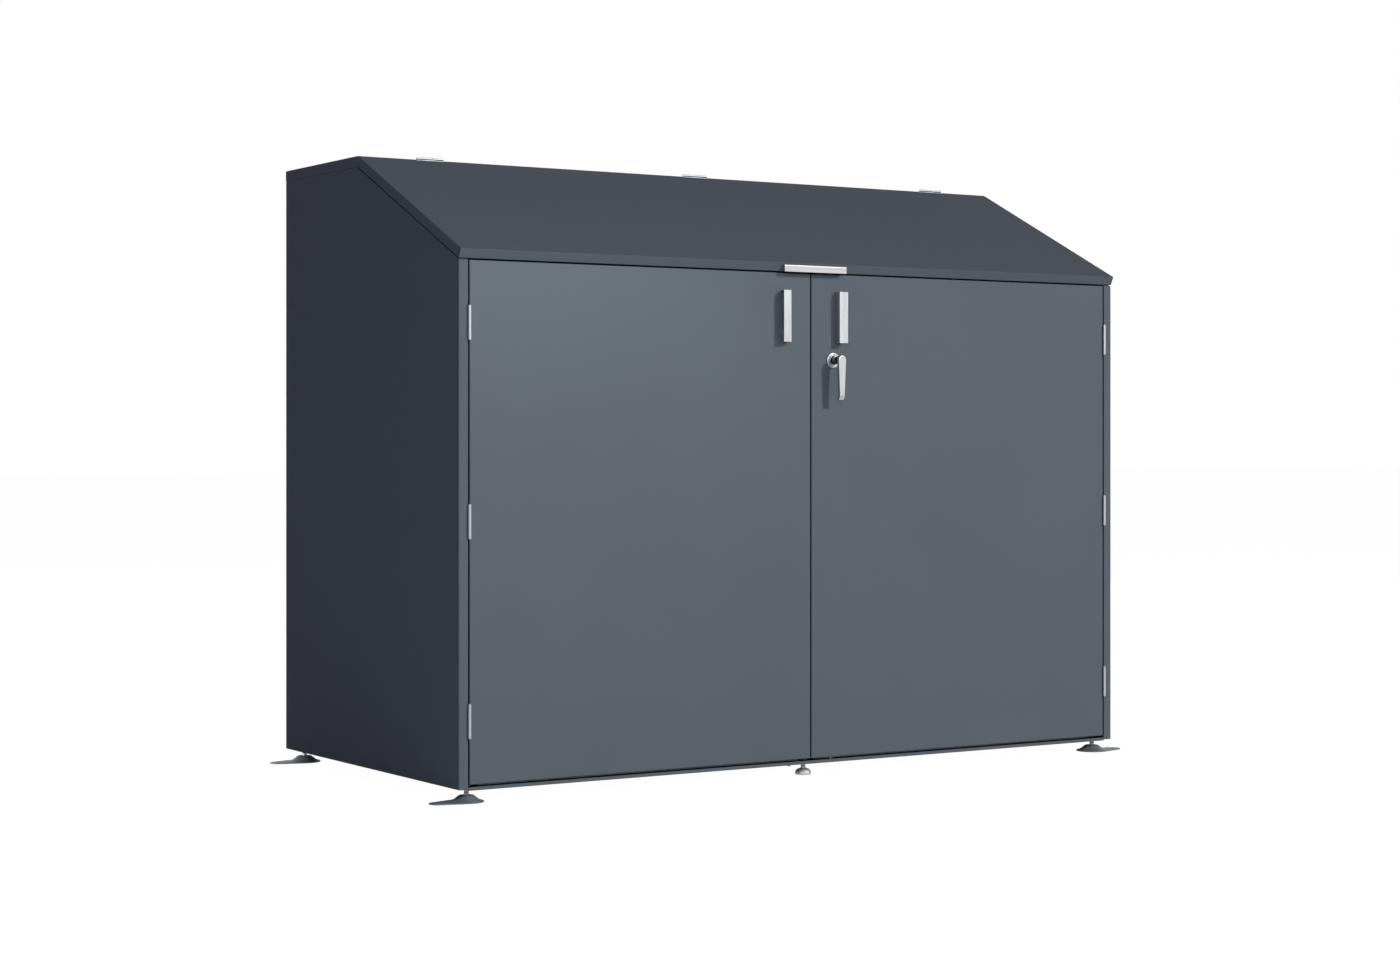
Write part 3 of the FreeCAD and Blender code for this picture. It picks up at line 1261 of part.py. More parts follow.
def build():
    keep_pair(side_panel(), "left_side_panel", "right_side_panel")
    rear = cassette("rear_panel", "XZ_Plane", "-Sizes.cabinet_depth", 1,
                    ("-Worked.tray_half", "Sizes.sill_top + Sizes.seat_gap", "-Sizes.seat_gap / 2",
                     "Worked.roof_under - Sizes.seat_gap"), "Sizes.door_thick", "Sizes.door_lip")
    fold_bends(rear, "Y", "Sizes.cabinet_depth", "Sizes.cabinet_depth - Sizes.door_thick", -1,
               (("X", "-Worked.tray_half", "-Sizes.seat_gap / 2"),
                ("Z", "Sizes.sill_top + Sizes.seat_gap", "Worked.roof_under - Sizes.seat_gap")))
    keep_pair(rear, "left_rear_panel", "right_rear_panel")
    roof_corners = ("-Worked.half", "Worked.roof_front_y", "Worked.half", "Sizes.cabinet_depth")
    roof = cassette("roof", "XY_Plane", "Worked.roof_top", -1, roof_corners, "Worked.lid_upright", "Sizes.lid_lip")
    fold_bends(roof, "Z", "Worked.roof_top", "Worked.roof_under", -1,
               (("X", "-Worked.half", "Worked.half"), ("Y", "Worked.roof_front_y", "Sizes.cabinet_depth")))
    keep(roof, "roof_panel")
    keep(ridge_beam(), "ridge_beam")
    keep(floor_tray(), "floor_tray")
    keep(underfloor_channel(), "underfloor_channel")
    keep(door_stop(), "door_stop")
    keep(foot_plates(), "foot_plates")
    keep(lock_nuts(), "foot_lock_nuts")
    keep_pair(side_rib(), "left_side_rib", "right_side_rib")
    keep(lid(), "lid")
    keep(lid_ribs(), "lid_ribs")
    keep(lid_keepers(), "lid_keepers")
    keep(lid_pull(), "lid_pull")
    keep(lid_buffers(), "lid_buffers")
    keep_pair(door_hinge_leaf(False), "left_door_fixed_leaves", "right_door_fixed_leaves")
    keep_pair(door_hinge_leaf(True), "left_door_moving_leaves", "right_door_moving_leaves")
    keep_pair(door_hinge_pins(), "left_door_hinge_pins", "right_door_hinge_pins")
    keep(lid_hinge_leaf(False), "lid_fixed_leaves")
    keep(lid_hinge_leaf(True), "lid_moving_leaves")
    keep(lid_hinge_pins(), "lid_hinge_pins")
    keep(door(-1), "left_door")
    keep(door(1), "right_door")
    keep(door_rib(-1), "left_door_rib")
    keep(door_rib(1), "right_door_rib")
    keep_pair(door_pull(), "left_door_pull", "right_door_pull")
    keep(bolt_guides(), "left_door_bolt_guides")
    keep(door_bolt(True), "upper_bolt")
    keep(door_bolt(False), "lower_bolt")
    keep(rosette(), "lock_rosette")
    keep(lock_case(), "lock_case")
    keep(lever(), "lock_lever")
    keep(spindle(), "lock_spindle")
    keep(pinion(), "lock_pinion")
    keep(rack_rod(1, True), "upper_rod")
    keep(rack_rod(-1, False), "lower_rod")
    keep(rod_guides(), "rod_guides")
    keep_pair(spring_cylinder(), "left_spring_cylinder", "right_spring_cylinder")
    keep_pair(spring_piston(), "left_spring_piston", "right_spring_piston")
    for bracket, name in ((spring_side_bracket(), "spring_side_brackets"),
                          (spring_lid_bracket(), "spring_lid_brackets")):
        keep(fuse([bracket, mirrored(bracket)]), name)
    keep_feet(ground_plate(), "ground_plate")
    keep_feet(stem(), "stem")
    front = keep(middle_foot(), "front_middle_foot")
    rear = to_rear(front)
    rear.Label = "rear_middle_foot"
    NODES.append(rear)


def keep_feet(thing, name):
    rear = to_rear(thing)
    NODES.append(rear)
    rear.Label = "rear_left_" + name
    keep_pair(thing, "front_left_" + name, "front_right_" + name)
    other = mirrored(rear)
    other.Label = "rear_right_" + name
    NODES.append(other)


def side_rib():
    # an upright hat profile on the side panel's skin
    body = new_body("side_rib")
    skin = "-Worked.half + Sizes.sheet"
    middle = "Sizes.side_rib_y"
    thin = "Sizes.rib_sheet"
    high = "Sizes.rib_high"
    wide = "Sizes.rib_wide / 2"
    edge = "(Sizes.rib_wide / 2 + Sizes.rib_high / 2)"
    half_profile = [
        (skin, "%s + Sizes.rib_flange" % edge),
        ("%s + %s" % (skin, thin), "%s + Sizes.rib_flange" % edge),
        ("%s + %s" % (skin, thin), "%s + %s" % (edge, thin)),
        ("%s + %s" % (skin, high), "%s + %s" % (wide, thin)),
    ]
    inside = [
        ("%s + %s - %s" % (skin, high, thin), wide),
        (skin, edge),
    ]
    corners = [(x, "%s - (%s)" % (middle, y)) for x, y in half_profile]
    corners += [(x, "%s + (%s)" % (middle, y)) for x, y in reversed(half_profile)]
    corners += [(x, "%s + (%s)" % (middle, y)) for x, y in reversed(inside)]
    corners += [(x, "%s - (%s)" % (middle, y)) for x, y in inside]
    pad(body, polygon(body, "XY_Plane", "Sizes.post + 3", corners), "Worked.roof_under - 2 * (Sizes.post + 3)")
    return body


def write_out():
    os.makedirs("parts", exist_ok=True)
    for thing in doc.Objects:
        if "Invalid" in thing.State or "Error" in thing.State:
            raise ValueError(thing.Name + " has a fault")
    for node in NODES:
        shape = node.Shape
        if shape.isNull() or not shape.isValid():
            raise ValueError(node.Label + " is not a valid shape")
        shape.exportStep("parts/%s.step" % node.Label)


build()
doc.recompute()
write_out()
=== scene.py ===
import json
import math

import bmesh
import bpy
from mathutils import Matrix, Vector

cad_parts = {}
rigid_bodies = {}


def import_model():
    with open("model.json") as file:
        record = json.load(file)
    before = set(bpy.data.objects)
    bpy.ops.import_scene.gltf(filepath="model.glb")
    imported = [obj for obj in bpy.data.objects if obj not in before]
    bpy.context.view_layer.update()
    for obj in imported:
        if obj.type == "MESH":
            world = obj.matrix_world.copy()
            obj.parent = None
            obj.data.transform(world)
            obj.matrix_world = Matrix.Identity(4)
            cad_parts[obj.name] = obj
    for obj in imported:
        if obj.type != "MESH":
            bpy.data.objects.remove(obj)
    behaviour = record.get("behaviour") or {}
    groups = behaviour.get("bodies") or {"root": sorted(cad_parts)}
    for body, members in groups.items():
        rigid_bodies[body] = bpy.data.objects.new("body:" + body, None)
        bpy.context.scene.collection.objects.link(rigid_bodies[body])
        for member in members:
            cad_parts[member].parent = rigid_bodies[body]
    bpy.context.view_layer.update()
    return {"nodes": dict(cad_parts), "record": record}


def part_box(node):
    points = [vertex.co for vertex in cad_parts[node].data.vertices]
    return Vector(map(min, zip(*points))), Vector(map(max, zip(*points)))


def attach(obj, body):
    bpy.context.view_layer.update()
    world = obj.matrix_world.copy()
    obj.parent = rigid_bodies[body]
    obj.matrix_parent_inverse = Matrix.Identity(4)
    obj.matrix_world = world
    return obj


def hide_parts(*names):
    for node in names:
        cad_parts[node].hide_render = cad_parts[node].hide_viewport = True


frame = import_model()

MM = 0.001
NODES = frame["nodes"]
SCENE = bpy.context.scene

# The photograph's view: a level camera to the left of the front, its horizon above the middle
IMAGE_WIDTH = 1400
FOCAL_PIXELS = 2634.8
HORIZON_ABOVE_MIDDLE = 37.5
CAMERA_PLACE = Vector((-3819.9, -5971.9, 845.2)) * MM
CAMERA_TURN = math.radians(32.415)
SENSOR_WIDTH = 36
VIEW_REACH = 200

UP = Vector((0, 0, 1))
FRONT = Vector((0, -1, 0))
BACK = Vector((0, 1, 0))
RIGHT = Vector((1, 0, 0))
LEFT = Vector((-1, 0, 0))

# Where the CAD model's front plane and its panels' foot lie, in metres
FRONT_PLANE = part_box("left_side_panel")[0][1]
PANEL_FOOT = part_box("left_side_panel")[0][2]

# Its pieces, in millimetres: X from the middle, Y from the front plane, Z from the panels' foot
HALF = 1000
DEPTH = 1000
POST = 25
DOOR_GAP = 3.5
DOOR_TOP = 1239.8
DOOR_BOTTOM = 11.2
SILL_TOP = 5.4
LID_FRONT = 1243
LID_SLOPE = math.radians(25.3)
DOOR_HINGES = (160, 627, 1093)
HINGE_LONG = 79
LEAF = 1.25
RIB_SHEET = 1.2
PULL_SHEET = 2
LOCK_X = 67.5
LOCK_Z = 1021.5
ROSETTE_HIGH = 7
BOLT_X = 40
ROD_GUIDE_BACK = 17
BOLT_GUIDE_BACK = 18
ROD_GUIDES = (DOOR_BOTTOM + 60, LOCK_Z / 2, LOCK_Z + 120, DOOR_TOP - 40)
BOLT_GUIDES = (DOOR_BOTTOM + 35, DOOR_BOTTOM + 125, DOOR_TOP - 35, DOOR_TOP - 125)
GROUND_GAP = 33
FOOT_X = 38
FOOT_Y = 35.5
PAD_R = 42
TONGUE_R = 22
TONGUE_REACH = 74
ROOT_REACH = 62.6
ANCHOR_HOLE = 5.5
PLATE_THICK = 2.5
STEM_R = 6.0
LID_BUFFERS = (60, 500)
BUFFER_LONG = 40
SPRING_X = 44
SPRING_LOW = (640, 1360)
SPRING_HIGH = (437.1, 1421.97)
CYLINDER_END = 186

# Above this height over the ground, in metres, brushed pieces lie across, and their colour is darkened
# as painted shade
ACROSS_AND_SHADED_ABOVE = LID_FRONT * MM + 0.03

# Edges sharper than this stay sharp
SHARP_EDGE = math.radians(32)

# Black strips lining the gaps, painted shade deep in the gaps: their reach behind the front or in from
# the lid's side, and the room that they leave
SHADE_STRIP_FRONT = 1.4
SHADE_STRIP_BACK = 22
LID_SHADE_STRIP_BACK = 18
LID_SHADE_STRIP_END = 600
SHADE_STRIP_THICK = 0.4
POST_SHADE_STRIP_FOOT = 8
CORNER_ROOM = 2
DOOR_CORNER_ROOM = 3
HINGE_ROOM = HINGE_LONG / 2 + 1
BOLT_ROOM = 7
BUFFER_ROOM = 2

# How far a head reaches into what it sits on
UNDER = -0.05

# Screws and rivets: how far they stand in from the edges and ends of what they hold
RIVET_INSET = 7.5
RIVET_END = 25
DOOR_RIVETS = 9
SIDE_RIVETS = 10
LEAF_HOLES = (-28, 0, 28)
LEAF_HOLE_BACK = 13
PANEL_SCREW_INSET = 13
PANEL_SCREW_END = 60
PANEL_SCREWS = 5
PULL_SCREW_INSET = 12
PULL_SCREW_END = 25
CASE_SCREW_INSET = 6
CASE_SCREW_END = 7
GUIDE_SCREWS = (-8.5, 8.5)
CLIP_OFF = 6.7
PIN_HEAD_OFF = 9.8
SHADE_SLEEVE_OFF = 0.4

# The stems' thread
PITCH = 1.75
THREAD_DEEP = 0.7
THREAD_LOW = 31
THREAD_HIGH = 55.5

# Profiles of turned pieces: radius and height in millimetres
# A black ring on the rosette and a black sleeve on the lever's neck: painted shade round the neck
SHADE_GASKET = [(9.6, 0.05), (11.4, 0.05), (11.4, 0.35), (11.0, 0.6), (10.0, 0.6), (9.6, 0.3)]
SHADE_SLEEVE = [(9.05, 0.4), (9.8, 0.4), (10.1, 0.9), (10.1, 24), (9.7, 25.5), (9.05, 26.5)]
STEM_FOOT = [(0, 0.3), (13, 0.3), (13.6, 0.9), (13.6, 10.5), (12.2, 12.6), (STEM_R, 12.6)]
STEM_NECK = [(STEM_R, 22.2), (5.2, 22.7), (5.2, 23.9), (STEM_R, 24.4), (STEM_R, THREAD_LOW)]
STEM_END = [(5.2, 55.6), (4.4, 57), (0, 57)]
# A black ring in the stem's neck groove, painted shade in the groove
STEM_SHADE_RING = [(5.3, 22.8), (5.7, 22.85), (5.85, 23.3), (5.7, 23.75), (5.3, 23.8)]
BELL = [(6.6, 16.5), (15.6, 16.5), (17.6, 16.1), (19.2, 15.1), (20.8, 13.9), (23.2, 11.9),
        (26.2, 9.5), (29.5, 7.2), (33.0, 5.2), (36.5, 3.9), (40.2, 3.1), (41.7, 2.4), (PAD_R, 1.4),
        (41.8, 0.0), (38.0, 0.0), (33.0, 1.6), (27.5, 3.2), (23.0, 6.0), (20.0, 9.6), (17.8, 12.6),
        (16.0, 14.0), (6.6, 14.0)]
DOME = [(0, 0.3), (19.4, 0.3), (20.3, 0.9), (20.5, 1.8), (20.5, 5.6), (20.1, 7.2), (19.2, 9.4),
        (17.7, 11.5), (15.6, 13.4), (13.0, 14.9), (10.4, 15.7), (8.6, 16.0), (8.2, 16.8),
        (STEM_R, 17.0)]
GLAND = [(4.6, -2.4), (9.0, -2.4), (9.5, -1.8), (9.5, 1.4), (8.4, 2.6), (6.0, 3.0), (4.6, 3.0)]
CLIP = [(4.05, -0.5), (6.6, -0.5), (6.8, 0.0), (6.6, 0.5), (4.05, 0.5)]

# The floor: its half width in metres, the level of its paint, and how white the camera sees it
FLOOR_REACH = 60
FLOOR_LEVEL = 0.8
FLOOR_GLOW = 1.075
FLOOR_WHITE = 0.92


class Wire:
    """An output of a material's node that takes part in sums like a number."""

    def __init__(self, finish, socket):
        self.finish = finish
        self.socket = socket

    def maths(self, operation, *values):
        return self.finish.add("ShaderNodeMath", {"operation": operation}, *values)

    def __add__(self, other):
        return self.maths("ADD", self, other)

    def __sub__(self, other):
        return self.maths("SUBTRACT", self, other)

    def __mul__(self, other):
        return self.maths("MULTIPLY", self, other)

    def __rsub__(self, other):
        return self.maths("SUBTRACT", other, self)

    __radd__ = __add__
    __rmul__ = __mul__

    def within(self, low, high):
        """0 below low, 1 above high, and a soft step between them."""
        return self.finish.add("ShaderNodeMapRange", {"interpolation_type": "SMOOTHSTEP"},
                               self, low, high)


class Finish:
    """A material: its Principled shader, and the nodes that vary it."""

    def __init__(self, name, **shader):
        self.material = bpy.data.materials.new(name)
        self.material.use_nodes = True
        self.tree = self.material.node_tree
        self.shader = self.tree.nodes["Principled BSDF"]
        for socket, value in shader.items():
            self.shader.inputs[socket.replace("_", " ")].default_value = value
        self.place = self.add("ShaderNodeTexCoord", output="Object")

    def join(self, socket, value):
        if isinstance(value, Wire):
            self.tree.links.new(value.socket, socket)
        else:
            socket.default_value = value

    def add(self, kind, settings=None, *values, output=0, **named):
        """A node of a kind: its settings, its inputs in order or by name, and the output wanted."""
        node = self.tree.nodes.new(kind)
        for name, value in (settings or {}).items():
            setattr(node, name, value)
        for index, value in enumerate(values):
            self.join(node.inputs[index], value)
        for name, value in named.items():
            self.join(node.inputs[name.replace("_", " ")], value)
        return Wire(self, node.outputs[output])

    def noise(self, scale, detail=2.0, stretch=(1, 1, 1)):
        place = self.add("ShaderNodeMapping", None, self.place, Scale=stretch)
        return self.add("ShaderNodeTexNoise", None, Vector=place, Scale=scale, Detail=detail,
                        Roughness=0.55)

    def axis(self, name):
        return self.add("ShaderNodeSeparateXYZ", None, self.place, output=name)

    def between(self, share, low, high):
        """A colour between two, by a share from 0 to 1."""
        mix = self.tree.nodes.new("ShaderNodeMix")
        mix.data_type = "RGBA"
        self.join(mix.inputs["Factor"], share)
        for socket, colour in (("A", low), ("B", high)):
            target = [entry for entry in mix.inputs if entry.name == socket and entry.type == "RGBA"][0]
            self.join(target, colour)
        result = [entry for entry in mix.outputs if entry.type == "RGBA"][0]
        return Wire(self, result)

    def bump(self, height, distance, strength=1.0):
        return self.add("ShaderNodeBump", None, Strength=strength, Distance=distance,
                        Height=height)

    def feed(self, **sockets):
        for name, value in sockets.items():
            self.join(self.shader.inputs[name.replace("_", " ")], value)
        return self.material


def srgb(red, green, blue):
    def linear(level):
        share = level / 255
        return share / 12.92 if share <= 0.04045 else ((share + 0.055) / 1.055) ** 2.4
    return (linear(red), linear(green), linear(blue), 1)


def shade(colour, share):
    """The colour made darker, or with a share above 1 lighter."""
    return tuple(level * share for level in colour[:3]) + (1,)


# Finishes

def powder_coat(name, colour, roughness):
    """Powder coat with a fine orange peel, faint tone clouds and a little dust near the ground."""
    finish = Finish(name, Specular_IOR_Level=0.015)
    clouds = finish.noise(2.2, 3.0)
    grain = finish.noise(420.0, 2.0)
    peel = finish.noise(950.0, 1.0)
    toned = finish.between(clouds.within(0.35, 0.65), shade(colour, 0.985), shade(colour, 1.015))
    specked = finish.between(grain.within(0.62, 0.8) * 0.06, toned, shade(colour, 1.5))
    dust = (1 - finish.axis("Z").within(0.03, 0.16)) * clouds.within(0.3, 0.8) * 0.05
    coated = finish.between(dust, specked, srgb(150, 146, 138))
    rough = roughness + (clouds - 0.5) * 0.08 + (grain - 0.5) * 0.05
    return finish.feed(Base_Color=coated, Roughness=rough, Normal=finish.bump(peel, 0.00006, 0.35))


def brushed(name, colour, roughness):
    """Metal ground along each piece: long fine streaks in tone, gloss and relief.

    Above the doors' upper edge, on the lid, the pieces lie across and are ground across; there their
    colour is also darkened as painted shade.
    """
    finish = Finish(name, Metallic=0.85)
    on_lid_across_and_shaded = finish.axis("Z").within(ACROSS_AND_SHADED_ABOVE, ACROSS_AND_SHADED_ABOVE + MM)
    upright = finish.noise(260.0, 3.0, (1, 1, 0.06))
    across = finish.noise(260.0, 3.0, (0.06, 1, 1))
    streaks = upright + (across - upright) * on_lid_across_and_shaded
    stains = finish.noise(24.0, 2.0)
    ground = finish.between(streaks.within(0.25, 0.75), shade(colour, 0.93), shade(colour, 1.0))
    # Painted shade: on the lid the ground colour is mixed a share of 0.3 toward a much darker one
    tone = finish.between(on_lid_across_and_shaded * 0.3, ground, shade(colour, 0.3))
    rough = roughness + (streaks - 0.5) * 0.16 + (stains - 0.5) * 0.08 + on_lid_across_and_shaded * 0.05
    return finish.feed(Base_Color=tone, Roughness=rough, Normal=finish.bump(streaks, 0.00003, 0.5))


def zinc(name, colour, roughness):
    """Zinc plate: a cool grey with soft crystal patches and dull spots."""
    finish = Finish(name, Metallic=1.0)
    patches = finish.add("ShaderNodeTexVoronoi", {"feature": "SMOOTH_F1"}, finish.place, Scale=130.0)
    spots = finish.noise(60.0, 3.0)
    tone = finish.between(patches.within(0.1, 0.7), shade(colour, 0.9), colour)
    dull = finish.between(spots.within(0.6, 0.85) * 0.35, tone, shade(colour, 0.72))
    rough = roughness + (spots - 0.5) * 0.2
    return finish.feed(Base_Color=dull, Roughness=rough, Normal=finish.bump(patches, 0.00004, 0.4))


def cast_foot(name, colour):
    """Painted cast metal, half matt and half shining, with a fine casting grain."""
    finish = Finish(name, Metallic=0.3, Specular_IOR_Level=0.2)
    grain = finish.noise(380.0, 3.0)
    wear = finish.noise(45.0, 2.0)
    tone = finish.between(wear.within(0.35, 0.7), shade(colour, 0.9), colour)
    rough = 0.5 + (grain - 0.5) * 0.2
    return finish.feed(Base_Color=tone, Roughness=rough, Normal=finish.bump(grain, 0.0001, 0.5))


def rubber(name):
    finish = Finish(name, Specular_IOR_Level=0.15)
    grain = finish.noise(700.0, 2.0)
    bloom = finish.noise(30.0, 2.0)
    tone = finish.between(bloom.within(0.4, 0.8), srgb(13, 13, 14), srgb(21, 21, 22))
    return finish.feed(Base_Color=tone, Roughness=0.75 + (grain - 0.5) * 0.15,
                       Normal=finish.bump(grain, 0.00008, 0.5))


def gloss_black(name):
    finish = Finish(name, Coat_Weight=0.3)
    clouds = finish.noise(35.0, 2.0)
    tone = finish.between(clouds.within(0.4, 0.7), srgb(20, 20, 21), srgb(27, 27, 28))
    return finish.feed(Base_Color=tone, Roughness=0.25 + (clouds - 0.5) * 0.1)


def polished(name):
    finish = Finish(name, Metallic=1.0)
    film = finish.noise(90.0, 2.0)
    tone = finish.between(film.within(0.4, 0.7), srgb(205, 206, 208), srgb(222, 223, 225))
    return finish.feed(Base_Color=tone, Roughness=0.08 + film * 0.08)


ANTHRACITE = srgb(89, 97, 102)
SATIN = srgb(182, 183, 184)
ZINC = srgb(140, 143, 147)

FINISHES = {
    "anthracite_paint": powder_coat("anthracite_paint", ANTHRACITE, 0.46),
    "foot_paint": cast_foot("foot_paint", srgb(112, 120, 124)),
    "satin_steel": brushed("satin_steel", SATIN, 0.34),
    "hinge_steel": brushed("hinge_steel", srgb(176, 178, 180), 0.38),
    "zinc_steel": zinc("zinc_steel", ZINC, 0.42),
    "bright_foot": zinc("bright_foot", srgb(174, 175, 177), 0.64),
    "black_rubber": rubber("black_rubber"),
    "spring_black": gloss_black("spring_black"),
    "piston_chrome": polished("piston_chrome"),
}


def dress_frame():
    for part in frame["record"]["subparts"]:
        node = NODES[part["node"]]
        node.data.materials.clear()
        node.data.materials.append(FINISHES[part["material_slot"]])


# Making pieces

def piece(name, mesh, slot, body):
    """Turns a bmesh into an object with a finish that rides on a body."""
    bmesh.ops.remove_doubles(mesh, verts=mesh.verts, dist=1e-7)
    bmesh.ops.recalc_face_normals(mesh, faces=mesh.faces)
    data = bpy.data.meshes.new(name)
    mesh.to_mesh(data)
    mesh.free()
    data.shade_smooth()
    data.set_sharp_from_angle(angle=SHARP_EDGE)
    thing = bpy.data.objects.new(name, data)
    SCENE.collection.objects.link(thing)
    data.materials.append(FINISHES[slot])
    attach(thing, body)
    return thing


# Small parts, drawn in millimetres with their own Z along their axis

def turned(profile, steps=24, closed=False):
    """A body of revolution from points of radius and height."""
    shape = bmesh.new()
    points = [shape.verts.new((radius, 0, height)) for radius, height in profile]
    pairs = list(zip(points, points[1:]))
    if closed:
        pairs.append((points[-1], points[0]))
    edges = [shape.edges.new(pair) for pair in pairs]
    bmesh.ops.spin(shape, geom=points + edges, cent=(0, 0, 0), axis=UP, angle=math.tau, steps=steps,
                   use_merge=True, use_duplicate=False)
    bmesh.ops.remove_doubles(shape, verts=shape.verts, dist=1e-4)
    bmesh.ops.recalc_face_normals(shape, faces=shape.faces)
    return shape


def stamp(mesh, shape, place, axis=UP):
    """Sets a copy of a small part at a place of the cabinet."""
    data = bpy.data.meshes.new("stamp")
    shape.to_mesh(data)
    turn = UP.rotation_difference(axis).to_matrix().to_4x4()
    data.transform(Matrix.Translation(on_cabinet(*place)) @ turn @ Matrix.Scale(MM, 4))
    mesh.from_mesh(data)
    bpy.data.meshes.remove(data)


def on_cabinet(x, y, z):
    """A place in metres from one in the cabinet's millimetres."""
    return Vector((x, y, z)) * MM + Vector((0, FRONT_PLANE, PANEL_FOOT))


def reach_of(name):
    """The corners of a CAD piece in the cabinet's millimetres."""
    return [(Vector(corner) - Vector((0, FRONT_PLANE, PANEL_FOOT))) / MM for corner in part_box(name)]


def strip(mesh, one, other, tilt=0.0, origin=(0, 0, 0)):
    """A flat bar between two corners, tilted about the cabinet's width at an origin."""
    low, high = Vector(map(min, one, other)), Vector(map(max, one, other))
    bar = bmesh.ops.create_cube(mesh, size=1)["verts"]
    size = Matrix.Diagonal(high - low).to_4x4()
    bmesh.ops.transform(mesh, verts=bar, matrix=Matrix.Translation((low + high) / 2) @ size)
    place = Matrix.Translation(on_cabinet(*origin)) @ Matrix.Rotation(tilt, 4, "X")
    bmesh.ops.transform(mesh, verts=bar, matrix=place @ Matrix.Scale(MM, 4))


def strip_under_lid(mesh, one, other):
    """A strip measured across the lid, up its slope and square to its underside."""
    strip(mesh, one, other, LID_SLOPE, (0, 0, LID_FRONT))


def dome_screw(radius, high):
    socket = radius * 0.42
    rim = [(radius * math.cos(turn), high * math.sin(turn)) for turn in (0.0, 0.3, 0.6, 0.9)]
    well = [(0, high * 0.45), (socket * 0.9, high * 0.45), (socket, high * 0.98)]
    return turned(well + rim[::-1] + [(radius, UNDER)])


def flat_screw(radius, high):
    socket = radius * 0.4
    return turned([(0, high * 0.3), (socket * 0.85, high * 0.3), (socket, high), (radius * 0.92, high),
                   (radius, high * 0.5), (radius, UNDER)])


def rivet(radius, high):
    return turned([(0, high), (radius * 0.45, high * 0.93), (radius * 0.8, high * 0.62),
                   (radius, high * 0.1), (radius, UNDER)], 12)


def row(low, high, count):
    """Evenly spaced places from one to another."""
    return [low + (high - low) * index / (count - 1) for index in range(count)]


# Black rubber strips in the gaps, standing in as painted shade deep in the gaps

def stretches(low, high, middles, room):
    """What is left of an edge when each thing on it gets some room to both sides of its middle."""
    cuts = [low]
    for middle in middles:
        if low < middle < high:
            cuts += [middle - room, middle + room]
    cuts.append(high)
    return list(zip(cuts[::2], cuts[1::2]))


# The posts, the sill and the lid's front and sides get thin black strips as painted shade in their gaps
def gap_shade_strips():
    inner = HALF - POST
    bolts = (-BOLT_X, LOCK_X)
    across = stretches(CORNER_ROOM - inner, inner - CORNER_ROOM, bolts, BOLT_ROOM)
    mesh = bmesh.new()
    for side in (-1, 1):
        top = DOOR_TOP - CORNER_ROOM
        for low, high in stretches(POST_SHADE_STRIP_FOOT, top, DOOR_HINGES, HINGE_ROOM):
            far = side * (inner - SHADE_STRIP_THICK)
            strip(mesh, (side * inner, SHADE_STRIP_FRONT, low), (far, SHADE_STRIP_BACK, high))
    piece("post_seals", mesh, "black_rubber", "cabinet")
    mesh = bmesh.new()
    for start, end in across:
        strip(mesh, (start, SHADE_STRIP_FRONT, SILL_TOP), (end, SHADE_STRIP_BACK, SILL_TOP + SHADE_STRIP_THICK))
    piece("sill_shade_strip", mesh, "black_rubber", "cabinet")
    for side, body, node in ((-1, "door_left", "left_door"), (1, "door_right", "right_door")):
        door_shade_strips(side, body, node, bolts)
    mesh = bmesh.new()
    for start, end in across:
        strip_under_lid(mesh, (start, SHADE_STRIP_FRONT, -SHADE_STRIP_THICK), (end, LID_SHADE_STRIP_BACK, 0))
    piece("lid_front_shade_strip", mesh, "black_rubber", "lid_wing")
    mesh = bmesh.new()
    buffers = [start + BUFFER_LONG / 2 for start in LID_BUFFERS]
    room = BUFFER_LONG / 2 + BUFFER_ROOM
    for side in (-1, 1):
        edge, back = side * (HALF - SHADE_STRIP_FRONT), side * (HALF - LID_SHADE_STRIP_BACK)
        for start, end in stretches(SHADE_STRIP_FRONT, LID_SHADE_STRIP_END, buffers, room):
            strip_under_lid(mesh, (edge, start, -SHADE_STRIP_THICK), (back, end, 0))
    piece("lid_side_seals", mesh, "black_rubber", "lid_wing")


def door_shade_strips(side, body, node, bolts):
    """Black strips on a door's hinge edge, its free edge and its lower edge, as painted shade in its
    gaps.
    """
    low, high = reach_of(node)
    outer, inner = (low.x, high.x) if side < 0 else (high.x, low.x)
    left, right = low.x + DOOR_CORNER_ROOM, high.x - DOOR_CORNER_ROOM
    foot, top = low.z + DOOR_CORNER_ROOM, high.z - DOOR_CORNER_ROOM
    mesh = bmesh.new()
    for start, end in stretches(foot, top, DOOR_HINGES, HINGE_ROOM):
        strip(mesh, (outer, SHADE_STRIP_FRONT, start), (outer + side * SHADE_STRIP_THICK, SHADE_STRIP_BACK, end))
    strip(mesh, (inner, SHADE_STRIP_FRONT, foot), (inner - side * SHADE_STRIP_THICK, SHADE_STRIP_BACK, top))
    for start, end in stretches(left, right, bolts, BOLT_ROOM):
        strip(mesh, (start, SHADE_STRIP_FRONT, low.z - SHADE_STRIP_THICK), (end, SHADE_STRIP_BACK, low.z))
    piece(node + "_seals", mesh, "black_rubber", body)


# Screws and rivets

